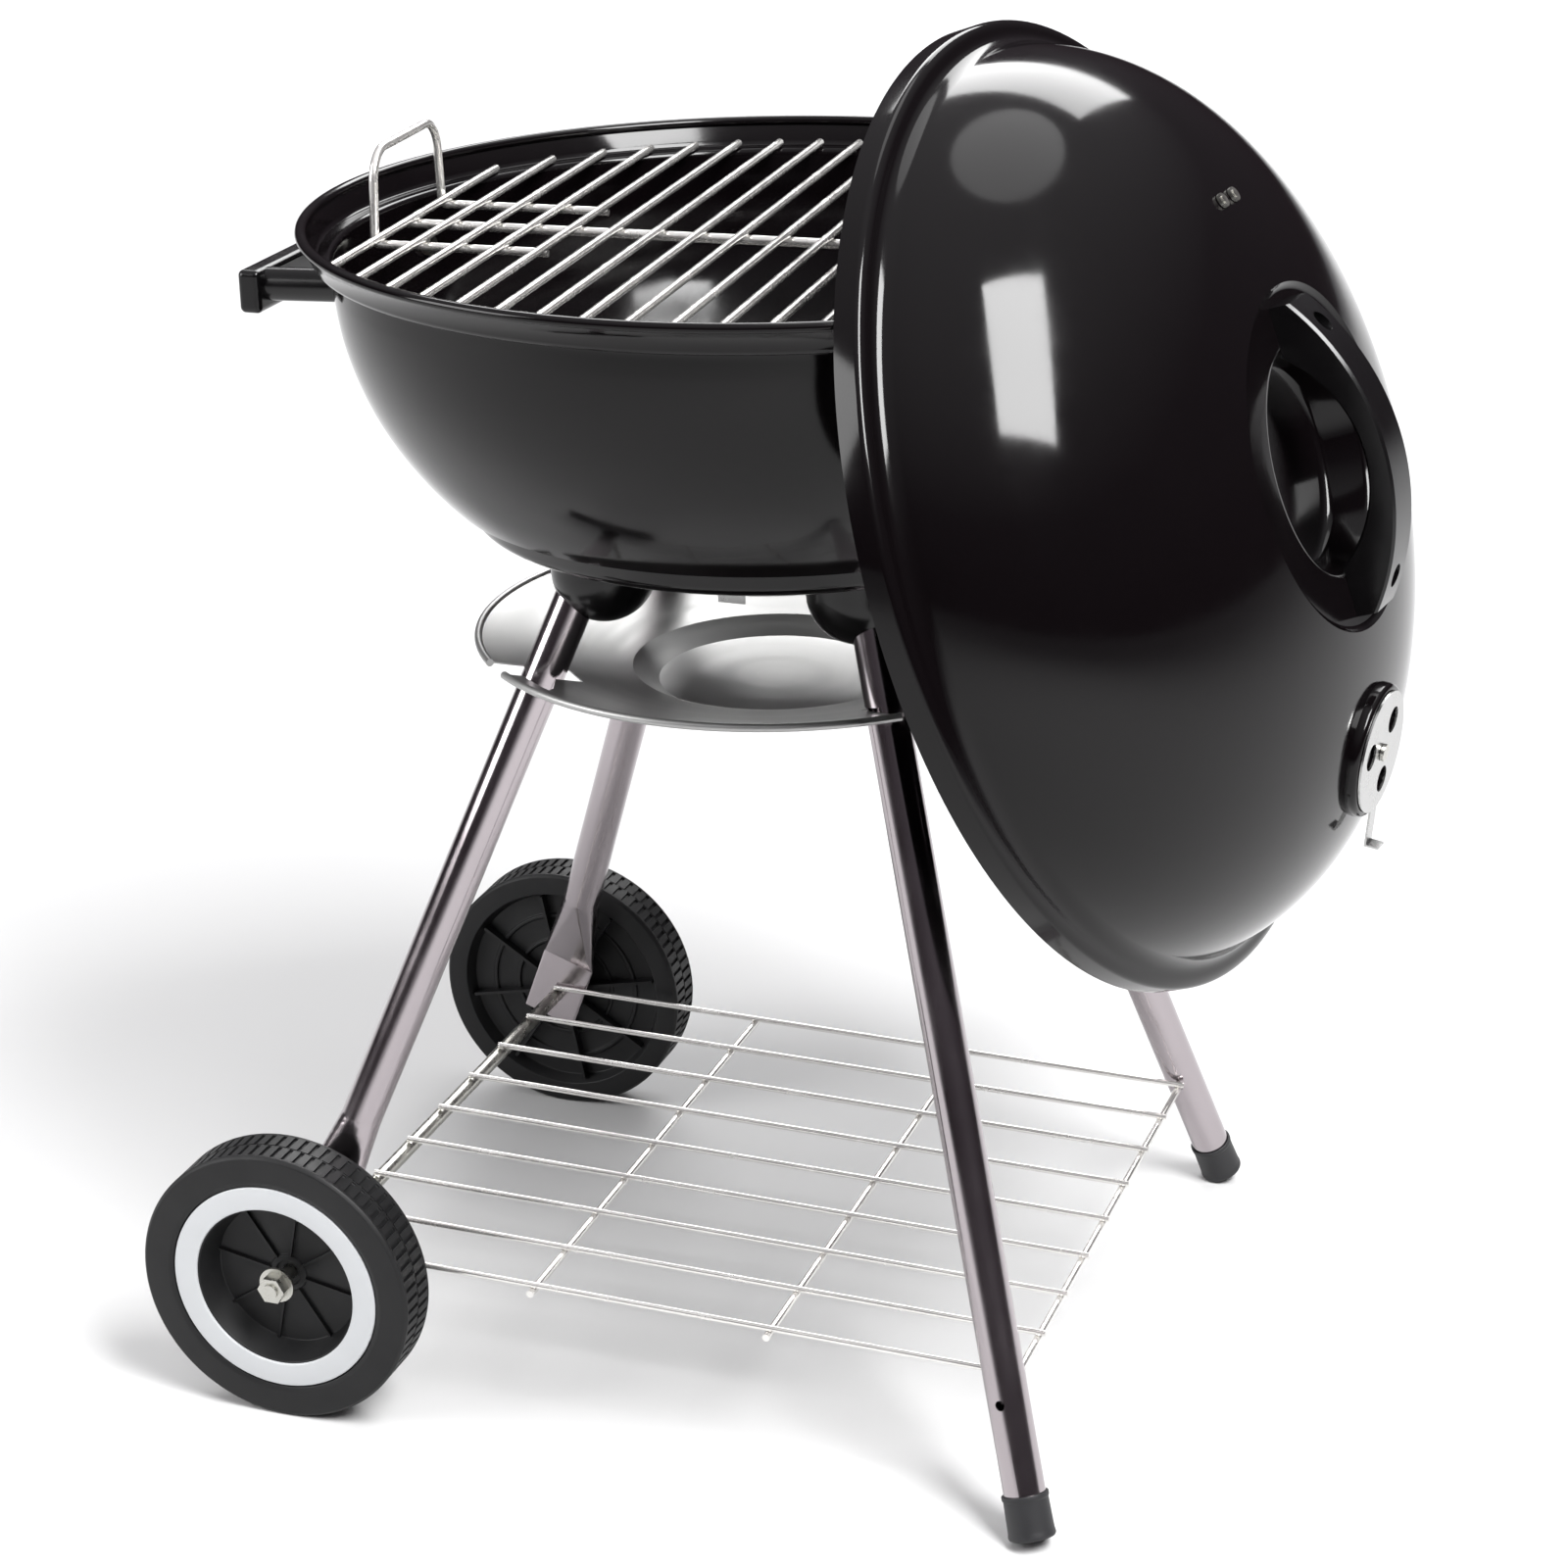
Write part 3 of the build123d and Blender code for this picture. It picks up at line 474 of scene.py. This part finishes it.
@dataclass
class Bowl(Builder):
    """Pressed bowl with its rolled rim, ledge and bottom vents; sizes in millimetres above its bottom."""

    sheet: float = 1.2
    rim_radius: float = 230.0
    bead_half_width: float = 3.0
    bead_half_height: float = 2.5
    wall_radius: float = 213.3
    wall_centre: float = 150.0
    wall_drop: float = 177.0
    step_radius: float = 155.5
    step_height: float = 35.0
    bottom_radius: float = 86.0
    vent_circle: float = 28.0
    vent_radius: float = 9.0

    def place(self) -> Matrix:
        """Return the bowl's axis at its lowest point."""
        middle = centre_of("bowl")
        return Matrix.Translation((middle.x, middle.y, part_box("bowl")[0].z))

    def wall(self, inset: float) -> list[tuple[float, float]]:
        """Return one surface of the wall from the middle of the bottom to the rim."""
        t = inset
        low = self.step_height + t
        high = 144.0
        points = [(0.0, t)] + rounded([(0.0, t), (self.bottom_radius, t), (150.0 - t, 22.0 + t),
                                       (self.step_radius - t, low), (self.rounded_wall(low, t), low)],
                                      5.0, closed=False)[1:]
        for k in range(1, 41):
            height = low + (high - low) * k / 40
            points.append((self.rounded_wall(height, t), height))
        ledge = 155.9 + t
        return points + rounded([(213.2 - t, ledge - 5.0), (213.3 - t, ledge - 2.0), (215.0 - t, ledge),
                                 (221.6 - t, ledge), (223.2 - t, ledge + 2.0), (226.4 - t, 169.4)],
                                2.0, closed=False)

    def rounded_wall(self, height: float, inset: float) -> float:
        """Return the radius of the wall's ellipse at a height."""
        rise = (self.wall_centre - height) / (self.wall_drop - inset)
        return (self.wall_radius - inset) * math.sqrt(1 - rise * rise)

    def build(self) -> None:
        """Build the bowl and dress the small parts fixed to it."""
        centre = (self.rim_radius - self.bead_half_width, 169.6)
        bead = []
        for k in range(15):
            angle = math.radians(-110 - 320 * k / 14)
            bead.append((centre[0] + self.bead_half_width * math.cos(angle),
                         centre[1] + self.bead_half_height * math.sin(angle)))
        outside = self.wall(0.0)[:-1]
        inside = self.wall(self.sheet)[:-1]
        outline = outside + bead[::-1] + inside[::-1]
        piece = finished("bowl_shell", lathe_mesh("bowl_shell", outline, self.place(), 192))
        cutters = [drill(self.vent_radius, self.place() @ Matrix.Rotation(math.radians(120 * k + 30), 4, "Z")
                         @ Matrix.Translation((self.vent_circle * MM, 0, 0))) for k in range(3)]
        self.hand_over(cut_away(piece, cutters), "stand", Slot.ENAMEL, ["bowl"])
        self.keep("bowl_damper", Slot.POLISHED)
        self.keep("bowl_damper_rivet", Slot.ZINC)
        self.keep("side_handle", Slot.BLACK_PLASTIC)
        self.keep("side_handle_bolts", Slot.ZINC)
        self.keep("leg_bolts", Slot.ZINC)
        self.keep("leg_plugs", Slot.ZINC)


# ---------------------------------------------------------------- grates


@dataclass
class CookingGrate(Builder):
    """Parallel bars on one cross wire with rounded ends, and the two loop handles."""

    bars: int = 18
    pitch: float = 21.6
    bar_radius: float = 2.1
    reach: float = 216.0
    turn_deg: float = 3.4
    cross_radius: float = 2.4
    cross_half: float = 191.0

    def tree(self) -> bpy.types.NodeTree:
        """Return the tree that lays out the bars, each as long as the circle is wide there."""
        tree, given = new_tree("grate_bars", {"Bars": "NodeSocketInt", "Pitch": "NodeSocketFloat",
                                              "Bar radius": "NodeSocketFloat", "Reach": "NodeSocketFloat",
                                              "Finish": "NodeSocketMaterial"})
        last = add_node(tree, "ShaderNodeMath", {"operation": "SUBTRACT"}, {0: given.outputs["Bars"], 1: 1.0})
        width = add_node(tree, "ShaderNodeMath", {"operation": "MULTIPLY"}, {
            0: last.outputs[0], 1: given.outputs["Pitch"]})
        start = add_node(tree, "ShaderNodeMath", {"operation": "MULTIPLY"}, {0: width.outputs[0], 1: -0.5})
        first = add_node(tree, "ShaderNodeCombineXYZ", inputs={0: start.outputs[0]})
        step = add_node(tree, "ShaderNodeCombineXYZ", inputs={0: given.outputs["Pitch"]})
        line = add_node(tree, "GeometryNodeMeshLine", inputs={
            "Count": given.outputs["Bars"], "Start Location": first.outputs[0], "Offset": step.outputs[0]})
        place = add_node(tree, "GeometryNodeInputPosition")
        parts = add_node(tree, "ShaderNodeSeparateXYZ", inputs={0: place.outputs[0]})
        across = add_node(tree, "ShaderNodeMath", {"operation": "MULTIPLY"}, {
            0: parts.outputs[0], 1: parts.outputs[0]})
        whole = add_node(tree, "ShaderNodeMath", {"operation": "MULTIPLY"}, {
            0: given.outputs["Reach"], 1: given.outputs["Reach"]})
        left = add_node(tree, "ShaderNodeMath", {"operation": "SUBTRACT"}, {
            0: whole.outputs[0], 1: across.outputs[0]})
        half = add_node(tree, "ShaderNodeMath", {"operation": "SQRT"}, {0: left.outputs[0]})
        length = add_node(tree, "ShaderNodeMath", {"operation": "MULTIPLY"}, {0: half.outputs[0], 1: 2.0})
        scale = add_node(tree, "ShaderNodeCombineXYZ", inputs={0: 1.0, 1: length.outputs[0], 2: 1.0})
        bar = add_node(tree, "GeometryNodeMeshCylinder", inputs={
            "Vertices": 16, "Radius": given.outputs["Bar radius"], "Depth": 1.0})
        laid = add_node(tree, "GeometryNodeTransform", inputs={
            "Geometry": bar.outputs["Mesh"], "Rotation": (math.pi / 2, 0, 0)})
        rows = add_node(tree, "GeometryNodeInstanceOnPoints", inputs={
            "Points": line.outputs[0], "Instance": laid.outputs[0], "Scale": scale.outputs[0]})
        end_tree(tree, rows.outputs[0], given.outputs["Finish"])
        return tree

    def build(self) -> None:
        """Build the bars and the cross wire, and dress the loops and the lower grate."""
        middle = centre_of("cooking_grate")
        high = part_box("cooking_grate")[1].z
        turn = Matrix.Rotation(math.radians(self.turn_deg), 4, "Z")
        place = Matrix.Translation((middle.x, middle.y, high - self.bar_radius * MM)) @ turn
        bars = tree_result("grate_bars", self.tree(), {
            "Bars": self.bars, "Pitch": self.pitch * MM, "Bar radius": self.bar_radius * MM,
            "Reach": self.reach * MM, "Finish": self.palette.made[Slot.WIRE]}, place)
        end = self.cross_half
        thick = self.cross_radius
        wire_outline = rounded([(0, -end), (thick, -end), (thick, end), (0, end)], 1.2)
        wire_place = place @ Matrix.Translation((0, 0, -4.4 * MM)) @ Matrix.Rotation(math.pi / 2, 4, "Y")
        wire = lathe_mesh("cross_wire", wire_outline, wire_place, 24)
        piece = join("cooking_grate_bars", [bars, wire])
        self.hand_over(piece, "cooking_grate", Slot.WIRE, ["cooking_grate"])
        for node in ("grate_handle_left", "grate_handle_right", "charcoal_grate"):
            self.keep(node, Slot.WIRE)


# ---------------------------------------------------------------- lid


@dataclass
class Lid(Builder):
    """Domed lid hung on the rim, with its cup and vent pad; sizes in millimetres from the lip plane."""

    sheet: float = 1.2
    hang_out: float = 175.3
    hang_up: float = 470.5
    hang_tilt_deg: float = 18.8
    hang_turn_deg: float = -7.6
    skirt_radius: float = 235.4
    skirt: float = 12.0
    dome_radius: float = 227.1
    dome_base: float = -20.7
    dome_height: float = 148.8
    power: float = 2.31
    seat_radius: float = 83.0
    seat: float = 119.8
    cup_radius: float = 52.5
    cup_depth: float = 22.0
    vent_out: float = 143.0
    pad_radius: float = 33.0
    pad_rise: float = 3.5
    pad_depth: float = 11.0
    pad_opening: float = 30.0
    vent_circle: float = 17.0
    vent_radius: float = 6.5

    def place(self) -> Matrix:
        """Return the lid's frame: skirt edge at zero, dome along local Z, hook towards local Y."""
        axis = centre_of("bowl")
        turn = math.radians(self.hang_turn_deg)
        tilt = math.radians(self.hang_tilt_deg)
        out = Vector((math.cos(turn), math.sin(turn), 0))
        side = Vector((-math.sin(turn), math.cos(turn), 0))
        normal = out * math.cos(tilt) + Vector((0, 0, math.sin(tilt)))
        up = normal.cross(side)
        spot = Vector((axis.x, axis.y, 0)) + (out * self.hang_out + Vector((0, 0, self.hang_up))) * MM
        matrix = Matrix((side, up, normal)).transposed().to_4x4()
        matrix.translation = spot
        return matrix

    def dome(self, angle_deg: float, inset: float) -> tuple[float, float]:
        """Return radius and height of the dome's curve at an angle from its base."""
        share = 2 / self.power
        angle = math.radians(angle_deg)
        radius = (self.dome_radius - inset) * max(math.cos(angle), 0.0) ** share
        return radius, self.dome_base + (self.dome_height - inset) * math.sin(angle) ** share

    def angle_at_radius(self, radius: float, inset: float) -> float:
        """Return the dome's angle, in degrees, where it has a radius."""
        return math.degrees(math.acos((radius / (self.dome_radius - inset)) ** (self.power / 2)))

    def surface(self, inset: float) -> list[tuple[float, float]]:
        """Return one surface from the lip to the middle of the cup."""
        t = inset
        low = math.degrees(math.asin(((15.5 - self.dome_base) / (self.dome_height - t)) ** (self.power / 2)))
        high = self.angle_at_radius(self.seat_radius + t, t)
        skirt = rounded([(self.skirt_radius - t, 0.0), (self.skirt_radius - t, self.skirt - t),
                         (self.skirt_radius - 3.4 - t, 14.0 - t), (226.4 - t, 14.4 - t),
                         self.dome(low + 1, t)],
                        2.6, closed=False)
        curve = [self.dome(low + 1 + (high - low - 1) * k / 44, t) for k in range(1, 44)]
        cup = self.cup_radius
        seat = self.seat - t
        floor = seat - self.cup_depth
        top = rounded([self.dome(high, t), (self.seat_radius - 2.2, seat), (cup + 3.0 + t, seat),
                       (cup - 3.0 + t, floor), (0.0, floor)],
                      4.0, closed=False)
        return skirt + curve + top

    def pad_place(self) -> Matrix:
        """Return the vent's frame: local Z out of the dome, local X down the dome."""
        angle = self.angle_at_radius(self.vent_out, 0.0)
        r0, z0 = self.dome(angle - 0.5, 0.0)
        r1, z1 = self.dome(angle + 0.5, 0.0)
        slope = Vector((0, r1 - r0, z0 - z1)).normalized()
        normal = Vector((1, 0, 0)).cross(slope)
        normal = normal if normal.z > 0 else -normal
        radius, height = self.dome(angle, 0.0)
        spot = Vector((0, -radius, height)) + normal * self.pad_rise
        matrix = Matrix((slope, normal.cross(slope), normal)).transposed().to_4x4()
        matrix.translation = spot * MM
        return self.place() @ matrix

    def build_shell(self) -> None:
        """Build the dome with its rolled lip and the raised vent pad."""
        outside = self.surface(0.0)
        inside = self.surface(self.sheet)
        outline = outside + inside[::-1]
        shell = finished("lid_shell", lathe_mesh("lid_shell", outline, self.place(), 224))
        pad_place = self.pad_place()
        vents = [pad_place @ Matrix.Rotation(math.radians(120 * k + 20), 4, "Z")
                 @ Matrix.Translation((self.vent_circle * MM, 0, 0)) for k in range(3)]
        shell = cut_away(shell, [drill(self.pad_opening, pad_place, 30.0)])
        self.hand_over(shell, "lid", Slot.ENAMEL, ["lid"])
        r = self.pad_radius
        bore = r - self.sheet
        profile = rounded([(0, 0), (r - 1.5, 0), (r, -1.6), (r, -self.pad_depth), (bore, -self.pad_depth),
                           (bore, -1.4), (0, -1.4)], 1.2)
        pad = finished("lid_vent_pad", lathe_mesh("lid_vent_pad", profile, pad_place, 96))
        pad = cut_away(pad, [drill(self.vent_radius, vent, 8.0) for vent in vents])
        self.hand_over(pad, "lid", Slot.ENAMEL)

    def build(self) -> None:
        """Build the lid and dress its small parts."""
        self.build_shell()
        self.keep("lid_handle", Slot.BLACK_PLASTIC)
        self.keep("lid_damper", Slot.POLISHED)
        for node in ("lid_damper_rivet", "lid_hook", "lid_hook_rivets", "lid_handle_screws",
                     "lid_handle_nuts"):
            self.keep(node, Slot.ZINC)


# ---------------------------------------------------------------- wheels


@dataclass
class Wheel(Builder):
    """Moulded wheel with two rows of tread blocks, a recessed ribbed web and a ring; sizes in millimetres."""

    node: str = "wheel_front"
    side: int = -1
    radius: float = 74.6
    width: float = 29.0
    blocks: int = 76
    block_height: float = 1.4
    shoulder: float = 3.2
    ribs: int = 8
    bore: float = 4.1

    def place(self) -> Matrix:
        """Return the wheel's frame: outer face at zero, local Z towards the other wheel."""
        low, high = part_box(self.node)
        middle = (low + high) / 2
        face = low.y if self.side < 0 else high.y
        matrix = Matrix.Rotation(math.radians(90 * self.side), 4, "X")
        return Matrix.Translation((middle.x, face, middle.z)) @ matrix

    def tread_tree(self) -> bpy.types.NodeTree:
        """Return the tree that sets tread blocks round the rim in two staggered rows."""
        tree, given = new_tree("tread_blocks", {
            "Blocks": "NodeSocketInt", "Radius": "NodeSocketFloat", "Size": "NodeSocketVector",
            "Height": "NodeSocketFloat", "Shift": "NodeSocketFloat", "Finish": "NodeSocketMaterial"})
        circle = add_node(tree, "GeometryNodeMeshCircle", {"fill_type": "NONE"}, {
            "Vertices": given.outputs["Blocks"], "Radius": given.outputs["Radius"]})
        index = add_node(tree, "GeometryNodeInputIndex")
        share = add_node(tree, "ShaderNodeMath", {"operation": "DIVIDE"}, {
            0: index.outputs[0], 1: given.outputs["Blocks"]})
        angle = add_node(tree, "ShaderNodeMath", {"operation": "MULTIPLY"}, {
            0: share.outputs[0], 1: 2 * math.pi})
        rotation = add_node(tree, "ShaderNodeCombineXYZ", inputs={2: angle.outputs[0]})
        block = add_node(tree, "GeometryNodeMeshCube", inputs={"Size": given.outputs["Size"]})
        rows = add_node(tree, "GeometryNodeInstanceOnPoints", inputs={
            "Points": circle.outputs[0], "Instance": block.outputs["Mesh"], "Rotation": rotation.outputs[0]})
        lift = add_node(tree, "ShaderNodeCombineXYZ", inputs={2: given.outputs["Height"]})
        turn = add_node(tree, "ShaderNodeCombineXYZ", inputs={2: given.outputs["Shift"]})
        moved = add_node(tree, "GeometryNodeTransform", inputs={
            "Geometry": rows.outputs[0], "Translation": lift.outputs[0], "Rotation": turn.outputs[0]})
        end_tree(tree, moved.outputs[0], given.outputs["Finish"])
        return tree

    def row(self, name: str, count: int, radius: float, size: tuple[float, float, float], height: float,
            shift: float) -> bpy.types.Mesh:
        """Return one ring of blocks as a mesh; sizes in millimetres and the shift in radians."""
        return tree_result(name, self.tread_tree(), {
            "Blocks": count, "Radius": radius * MM, "Size": tuple(s * MM for s in size),
            "Height": height * MM, "Shift": shift,
            "Finish": self.palette.made[Slot.WHEEL_PLASTIC]}, self.place())

    def build(self) -> None:
        """Build the wheel and its ring."""
        place = self.place()
        rim = self.radius
        core = rim - self.block_height
        wide = self.width
        edge = self.shoulder
        seam = wide / 2
        front = [(self.bore, 19.0), (7.0, 19.0), (7.0, 17.0), (10.0, 17.0), (10.5, 18.0), (39.5, 18.0),
                 (43.5, 2.0), (57.5, 2.0), (57.5, 0.8), (60.0, 0.0), (rim - 1.6, 0.0), (rim, 1.6)]
        tread = [(rim, edge), (core, edge + 0.3), (core, seam - 0.6), (rim - 0.2, seam - 0.3),
                 (rim - 0.2, seam + 0.3), (core, seam + 0.6), (core, wide - edge - 0.3), (rim, wide - edge)]
        back = [(rim, wide - 1.6), (rim - 1.6, wide), (62.0, wide), (59.0, 21.3), (47.0, 21.3), (46.6, 22.6),
                (44.6, 22.6), (44.2, 21.3), (31.4, 21.3), (31.0, 22.6), (29.4, 22.6), (29.0, 21.3),
                (12.5, 21.3), (12.0, wide - 0.8), (self.bore, wide - 0.8)]
        outline = rounded(front + tread + back, 0.5, 3)
        meshes = [lathe_mesh("wheel_body", outline, place, 152)]
        pitch = 2 * math.pi * core / self.blocks
        size = (self.block_height * 2 - 0.1, pitch * 0.64, wide / 2 - edge - 0.4)
        reach = size[2] / 2
        meshes.append(self.row("tread_outer", self.blocks, core, size, edge - 0.1 + reach, 0.0))
        meshes.append(self.row("tread_inner", self.blocks, core, size, wide - edge + 0.1 - reach,
                               math.pi / self.blocks))
        meshes.append(self.row("web_ribs", self.ribs, 25.0, (30.0, 1.1, 2.4), 17.3, 0.2))
        meshes.append(self.row("back_ribs", self.ribs, 35.5, (48.0, 1.8, 6.0), 24.0, 0.2))
        self.hand_over(join(f"{self.node}_moulding", meshes), self.node, Slot.WHEEL_PLASTIC, [self.node])
        ring_node = self.node.replace("wheel", "wheel_ring")
        trim = rounded([(44.2, 0.9), (44.6, 0.5), (56.4, 0.5), (56.8, 0.9), (56.8, 2.0), (44.2, 2.0)], 0.3, 3)
        ring = finished(f"{ring_node}_trim", lathe_mesh(ring_node, trim, place, 128))
        self.hand_over(ring, self.node, Slot.WHITE_PLASTIC, [ring_node])


@dataclass
class Stand(Builder):
    """Legs, sockets, foot caps, ash pan, shelf and axle."""

    cap_radius: float = 11.9
    cap_height: float = 22.0
    finishes: dict[str, Slot] = field(default_factory=lambda: {
        "leg_foot_front": Slot.CHROME, "leg_foot_rear": Slot.CHROME, "leg_wheel_front": Slot.CHROME,
        "leg_wheel_rear": Slot.CHROME, "leg_socket_foot_front": Slot.BLACK_PLASTIC,
        "leg_socket_foot_rear": Slot.BLACK_PLASTIC, "leg_socket_wheel_front": Slot.BLACK_PLASTIC,
        "leg_socket_wheel_rear": Slot.BLACK_PLASTIC, "ash_pan": Slot.PAN, "bottom_shelf": Slot.WIRE,
        "axle": Slot.ZINC, "wheel_spacers": Slot.ZINC, "axle_washers": Slot.ZINC, "axle_nuts": Slot.ZINC})

    def leg_direction(self, node: str) -> Vector:
        """Return the unit vector down a fixed leg, read from the two ends of its mesh."""
        points = np.array([v.co for v in NODES[node].data.vertices])
        low = points[points[:, 2] < points[:, 2].min() + 0.012].mean(axis=0)
        high = points[points[:, 2] > points[:, 2].max() - 0.012].mean(axis=0)
        return Vector(low - high).normalized()

    def build_cap(self, end: str) -> None:
        """Build one foot cap with a rounded edge and a small collar, square to its leg."""
        down = self.leg_direction(f"leg_foot_{end}")
        middle = centre_of(f"foot_cap_{end}")
        turn = down.to_track_quat("Z", "Y").to_matrix().to_4x4()
        place = Matrix.Translation(middle) @ turn
        r, h = self.cap_radius, self.cap_height / 2
        outline = rounded([(10.5, -h), (r - 0.2, -h), (r - 0.2, -h + 2.2), (r - 0.7, -h + 2.8),
                           (r - 0.4, h - 4),
                           (r, h - 1.2), (r - 0.6, h), (0, h), (0, h - 3.0), (10.5, h - 3.0)], 0.6, 3)
        piece = finished(f"foot_cap_{end}_moulding", lathe_mesh(f"foot_cap_{end}", outline, place, 64))
        self.hand_over(piece, "stand", Slot.GREY_PLASTIC, [f"foot_cap_{end}"])

    def build(self) -> None:
        """Dress the kept nodes and build the foot caps."""
        for node, slot in self.finishes.items():
            self.keep(node, slot)
        for end in ("front", "rear"):
            self.build_cap(end)


# ---------------------------------------------------------------- studio


@dataclass
class Studio:
    """Pale floor, soft lights, surroundings and the camera."""

    focal_mm: float = 83.53
    sensor_mm: float = 36.0
    eye: tuple[float, float, float] = (600.52, -1654.36, 993.84)
    yaw_deg: float = 19.846
    pitch_deg: float = 21.566
    roll_deg: float = -1.0548

    def build_camera(self) -> None:
        """Place the camera, given from the bowl's axis."""
        axis = centre_of("bowl")
        yaw, pitch = math.radians(self.yaw_deg), math.radians(self.pitch_deg)
        roll = math.radians(self.roll_deg)
        ahead = Vector((-math.sin(yaw) * math.cos(pitch), math.cos(yaw) * math.cos(pitch), -math.sin(pitch)))
        level = Vector((math.cos(yaw), math.sin(yaw), 0))
        over = level.cross(ahead)
        right = level * math.cos(roll) + over * math.sin(roll)
        up = over * math.cos(roll) - level * math.sin(roll)
        data = bpy.data.cameras.new("view")
        data.lens = self.focal_mm
        data.sensor_width = self.sensor_mm
        data.sensor_fit = "HORIZONTAL"
        data.clip_end = 100.0
        camera = bpy.data.objects.new("view", data)
        matrix = Matrix((right, up, -ahead)).transposed().to_4x4()
        matrix.translation = Vector(self.eye) * MM + Vector((axis.x, axis.y, 0))
        camera.matrix_world = matrix
        bpy.context.scene.collection.objects.link(camera)
        bpy.context.scene.camera = camera

    def add_softbox(self, name: str, spot: tuple[float, float, float], size: tuple[float, float],
                    watts: float, target: tuple[float, float, float] = (0.0, 0.0, 0.38),
                    roll_deg: float = 0.0, shape: str = "RECTANGLE") -> None:
        """Add a soft light that points at a target.

        Args:
            name: Name of the light.
            spot: Where it stands, in metres.
            size: Width and height, in metres.
            watts: Its power.
            target: The point it faces, by default the middle of the grill.
            roll_deg: Turn about its own axis.
            shape: Area light shape.
        """
        data = bpy.data.lights.new(name, "AREA")
        data.shape = shape
        data.size, data.size_y = size
        data.energy = watts
        lamp = bpy.data.objects.new(name, data)
        aim = Vector(target) - Vector(spot)
        face = aim.to_track_quat("-Z", "Y").to_matrix().to_4x4()
        lamp.matrix_world = Matrix.Translation(spot) @ face @ Matrix.Rotation(math.radians(roll_deg), 4, "Z")
        bpy.context.scene.collection.objects.link(lamp)

    def build_floor(self) -> None:
        """Lay a wide pale floor just under the feet."""
        mesh = lathe_mesh("floor", [(0, 0), (14000, 0), (14000, -20), (0, -20)], Matrix.Identity(4), 96)
        floor = finished("floor", mesh)
        # Matt backdrop paper, unrolled over the floor.
        paper = Finish("seamless_paper_white", "#c4c4c4", 0.9, specular=0.1, grain_mm=3.0, bump_mm=0.02,
                       shade=0.01)
        floor.data.materials.append(paper.build())

    def build_surroundings(self) -> None:
        """Make the surroundings: bright overhead, with darker quarters that show in the bright metal."""
        world = bpy.data.worlds.new("studio")
        world.use_nodes = True
        tree = world.node_tree
        back = tree.nodes["Background"]
        way = add_node(tree, "ShaderNodeTexCoord")
        parts = add_node(tree, "ShaderNodeSeparateXYZ", inputs={0: way.outputs["Generated"]})
        ramp = add_node(tree, "ShaderNodeValToRGB", inputs={0: parts.outputs[2]})
        ramp.color_ramp.elements[0].position = 0.0
        ramp.color_ramp.elements[0].color = (0.030, 0.022, 0.026, 1)
        ramp.color_ramp.elements[1].position = 1.0
        ramp.color_ramp.elements[1].color = (0.85, 0.85, 0.87, 1)
        middle = ramp.color_ramp.elements.new(0.35)
        middle.color = (0.10, 0.09, 0.10, 1)
        tree.links.new(ramp.outputs[0], back.inputs["Color"])
        back.inputs["Strength"].default_value = 1.0
        bpy.context.scene.world = world

    def build(self) -> None:
        """Build the whole studio."""
        self.build_camera()
        self.build_floor()
        self.build_surroundings()
        self.add_softbox("softbox_left", (-2.3, -1.5, 1.5), (1.5, 1.5), 60.0)
        self.add_softbox("softbox_right", (1.66, -0.98, 2.82), (1.15, 1.75), 210.0, roll_deg=-22.0)
        self.add_softbox("softbox_overhead", (0.3, 1.0, 3.0), (1.5, 1.5), 13.0, shape="ELLIPSE")
        self.add_softbox("background_light", (-1.0, 4.6, 3.6), (4.0, 3.0), 300.0, (-1.0, 4.4, 0.0))
        bpy.context.scene.view_settings.view_transform = "Standard"


def main() -> None:
    """Build the studio and every sub-assembly, in order."""
    logging.basicConfig(level=logging.INFO, format="%(message)s")
    palette = Palette(centre_of("bowl"))
    Studio().build()
    for part in (Bowl(palette), CookingGrate(palette), Lid(palette), Wheel(palette, "wheel_front", -1),
                 Wheel(palette, "wheel_rear", 1), Stand(palette)):
        part.build()


if __name__ == "__main__":
    main()
